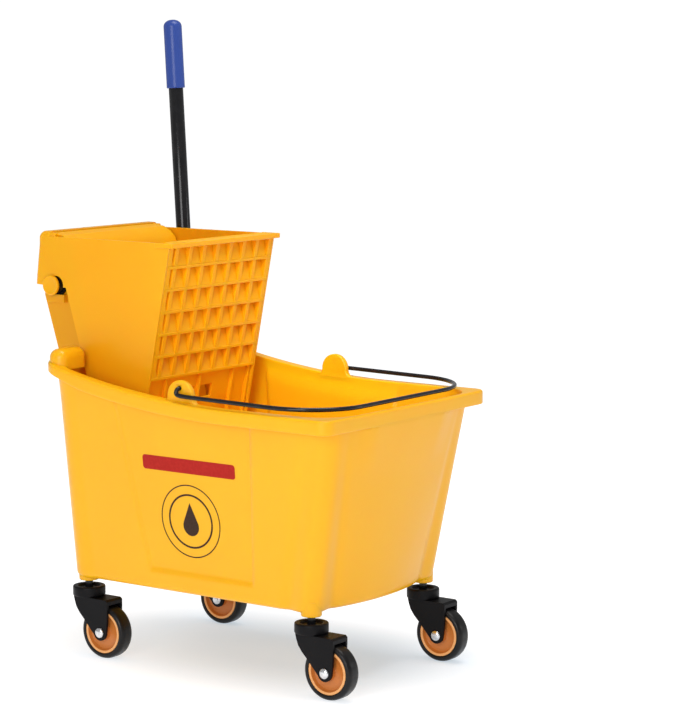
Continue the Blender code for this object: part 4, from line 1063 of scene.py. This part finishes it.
# ---- stage
def make_floor():
    """White floor with a painted shadow: it glows less and cooler under the object, where the shadow lies."""
    shape = bmesh.new()
    bmesh.ops.create_grid(shape, x_segments=1, y_segments=1, size=14.0)
    floor = add_object("floor", as_mesh("floor", shape, outward=False))
    white, tree, shader, at = new_material("floor_white")
    # Painted shadow: the emission dims in an oval under the object, and turns cool there to cancel the yellow
    # light bounced off the bucket.
    oval = add_node(tree, "ShaderNodeMapping", {"Vector": at, "Location": (-0.14, -0.20, 0.0),
                                                "Scale": (1 / 0.36, 1 / 0.24, 0.0)}, "Vector")
    reach = tree.nodes.new("ShaderNodeVectorMath")
    reach.operation = "LENGTH"
    tree.links.new(oval, reach.inputs[0])
    ramp = tree.nodes.new("ShaderNodeMapRange")
    ramp.interpolation_type = "SMOOTHSTEP"
    feed(tree, ramp, {"Value": reach.outputs["Value"], "From Min": 0.25, "From Max": 1.35})
    glow = blend_colour(tree, ramp.outputs["Result"], (0.34, 0.42, 0.49), (0.83, 0.83, 0.83))
    feed(tree, shader, {"Base Color": (0.46, 0.47, 0.49, 1), "Roughness": 1.0, "Specular IOR Level": 0.0,
                        "Emission Color": glow, "Emission Strength": 1.0})
    floor.data.materials.append(white)


def make_world():
    """White world, brighter to the camera than to the object."""
    world = bpy.data.worlds.new("studio")
    bpy.context.scene.world = world
    world.use_nodes = True
    tree = world.node_tree
    lit = tree.nodes["Background"]
    feed(tree, lit, {"Color": (1, 1, 1, 1), "Strength": 0.42})
    seen = add_node(tree, "ShaderNodeBackground", {"Color": (1, 1, 1, 1), "Strength": 1.05}, "Background")
    is_seen = tree.nodes.new("ShaderNodeLightPath").outputs["Is Camera Ray"]
    inputs = {"Fac": is_seen, 1: lit.outputs["Background"], 2: seen}
    both = add_node(tree, "ShaderNodeMixShader", inputs, "Shader")
    feed(tree, tree.nodes["World Output"], {"Surface": both})


def add_light(name, kind, power, location, target):
    """Light aimed at a point."""
    data = bpy.data.lights.new(name, kind)
    data.energy = power
    lamp = add_object(name, data)
    lamp.location = location
    lamp.rotation_euler = (Vector(location) - Vector(target)).to_track_quat("Z", "Y").to_euler()
    return data


def make_lights():
    """Four soft boxes, and a spot that fills the inside of the tub, which glows through its walls."""
    boxes = (("key", (0.8, -2.05, 0.9), 1.1, 21.5), ("side", (2.2, 1.7, 0.8), 0.6, 3.4),
             ("left", (-2.4, -1.0, 1.3), 1.2, 0.7), ("top", (0.5, 0.2, 3.0), 1.6, 43.0))
    for name, location, size, power in boxes:
        box = add_light(name, "AREA", power, location, (0.0, 0.0, 0.30))
        box.shape = "SQUARE"
        box.size = size
    spot = add_light("inside", "SPOT", 24.0, (0.36, -0.52, 0.98), (0.08, 0.13, 0.41))
    spot.spot_size = math.radians(34)
    spot.spot_blend = 1.0
    spot.shadow_soft_size = 0.12


def make_camera():
    """Camera at the azimuth and elevation of the view, with its picture's centre shifted a little."""
    azimuth, elevation = 36.0008, 7.2499
    data = bpy.data.cameras.new("camera")
    data.sensor_width = 36.0
    data.lens = 127.36
    data.shift_x, data.shift_y = 0.00126, 0.0003
    data.clip_end = 60.0
    camera = add_object("camera", data)
    camera.location = (2.1734, -2.7673, 0.8685)
    camera.rotation_euler = (math.radians(90 - elevation), 0, math.radians(azimuth))
    bpy.context.scene.camera = camera
    bpy.context.scene.view_settings.view_transform = "Standard"


def main():
    """Make the stage and every piece."""
    make_floor()
    make_world()
    make_lights()
    make_camera()
    make_tub()
    make_ears()
    make_pads()
    make_legs()
    make_decals()
    make_bail()
    for end in STEM_X:
        for near_or_far in SIDES:
            make_caster(end, near_or_far)
    make_wringer()
    make_gear()
    make_lever()


main()

bpy.context.view_layer.update()
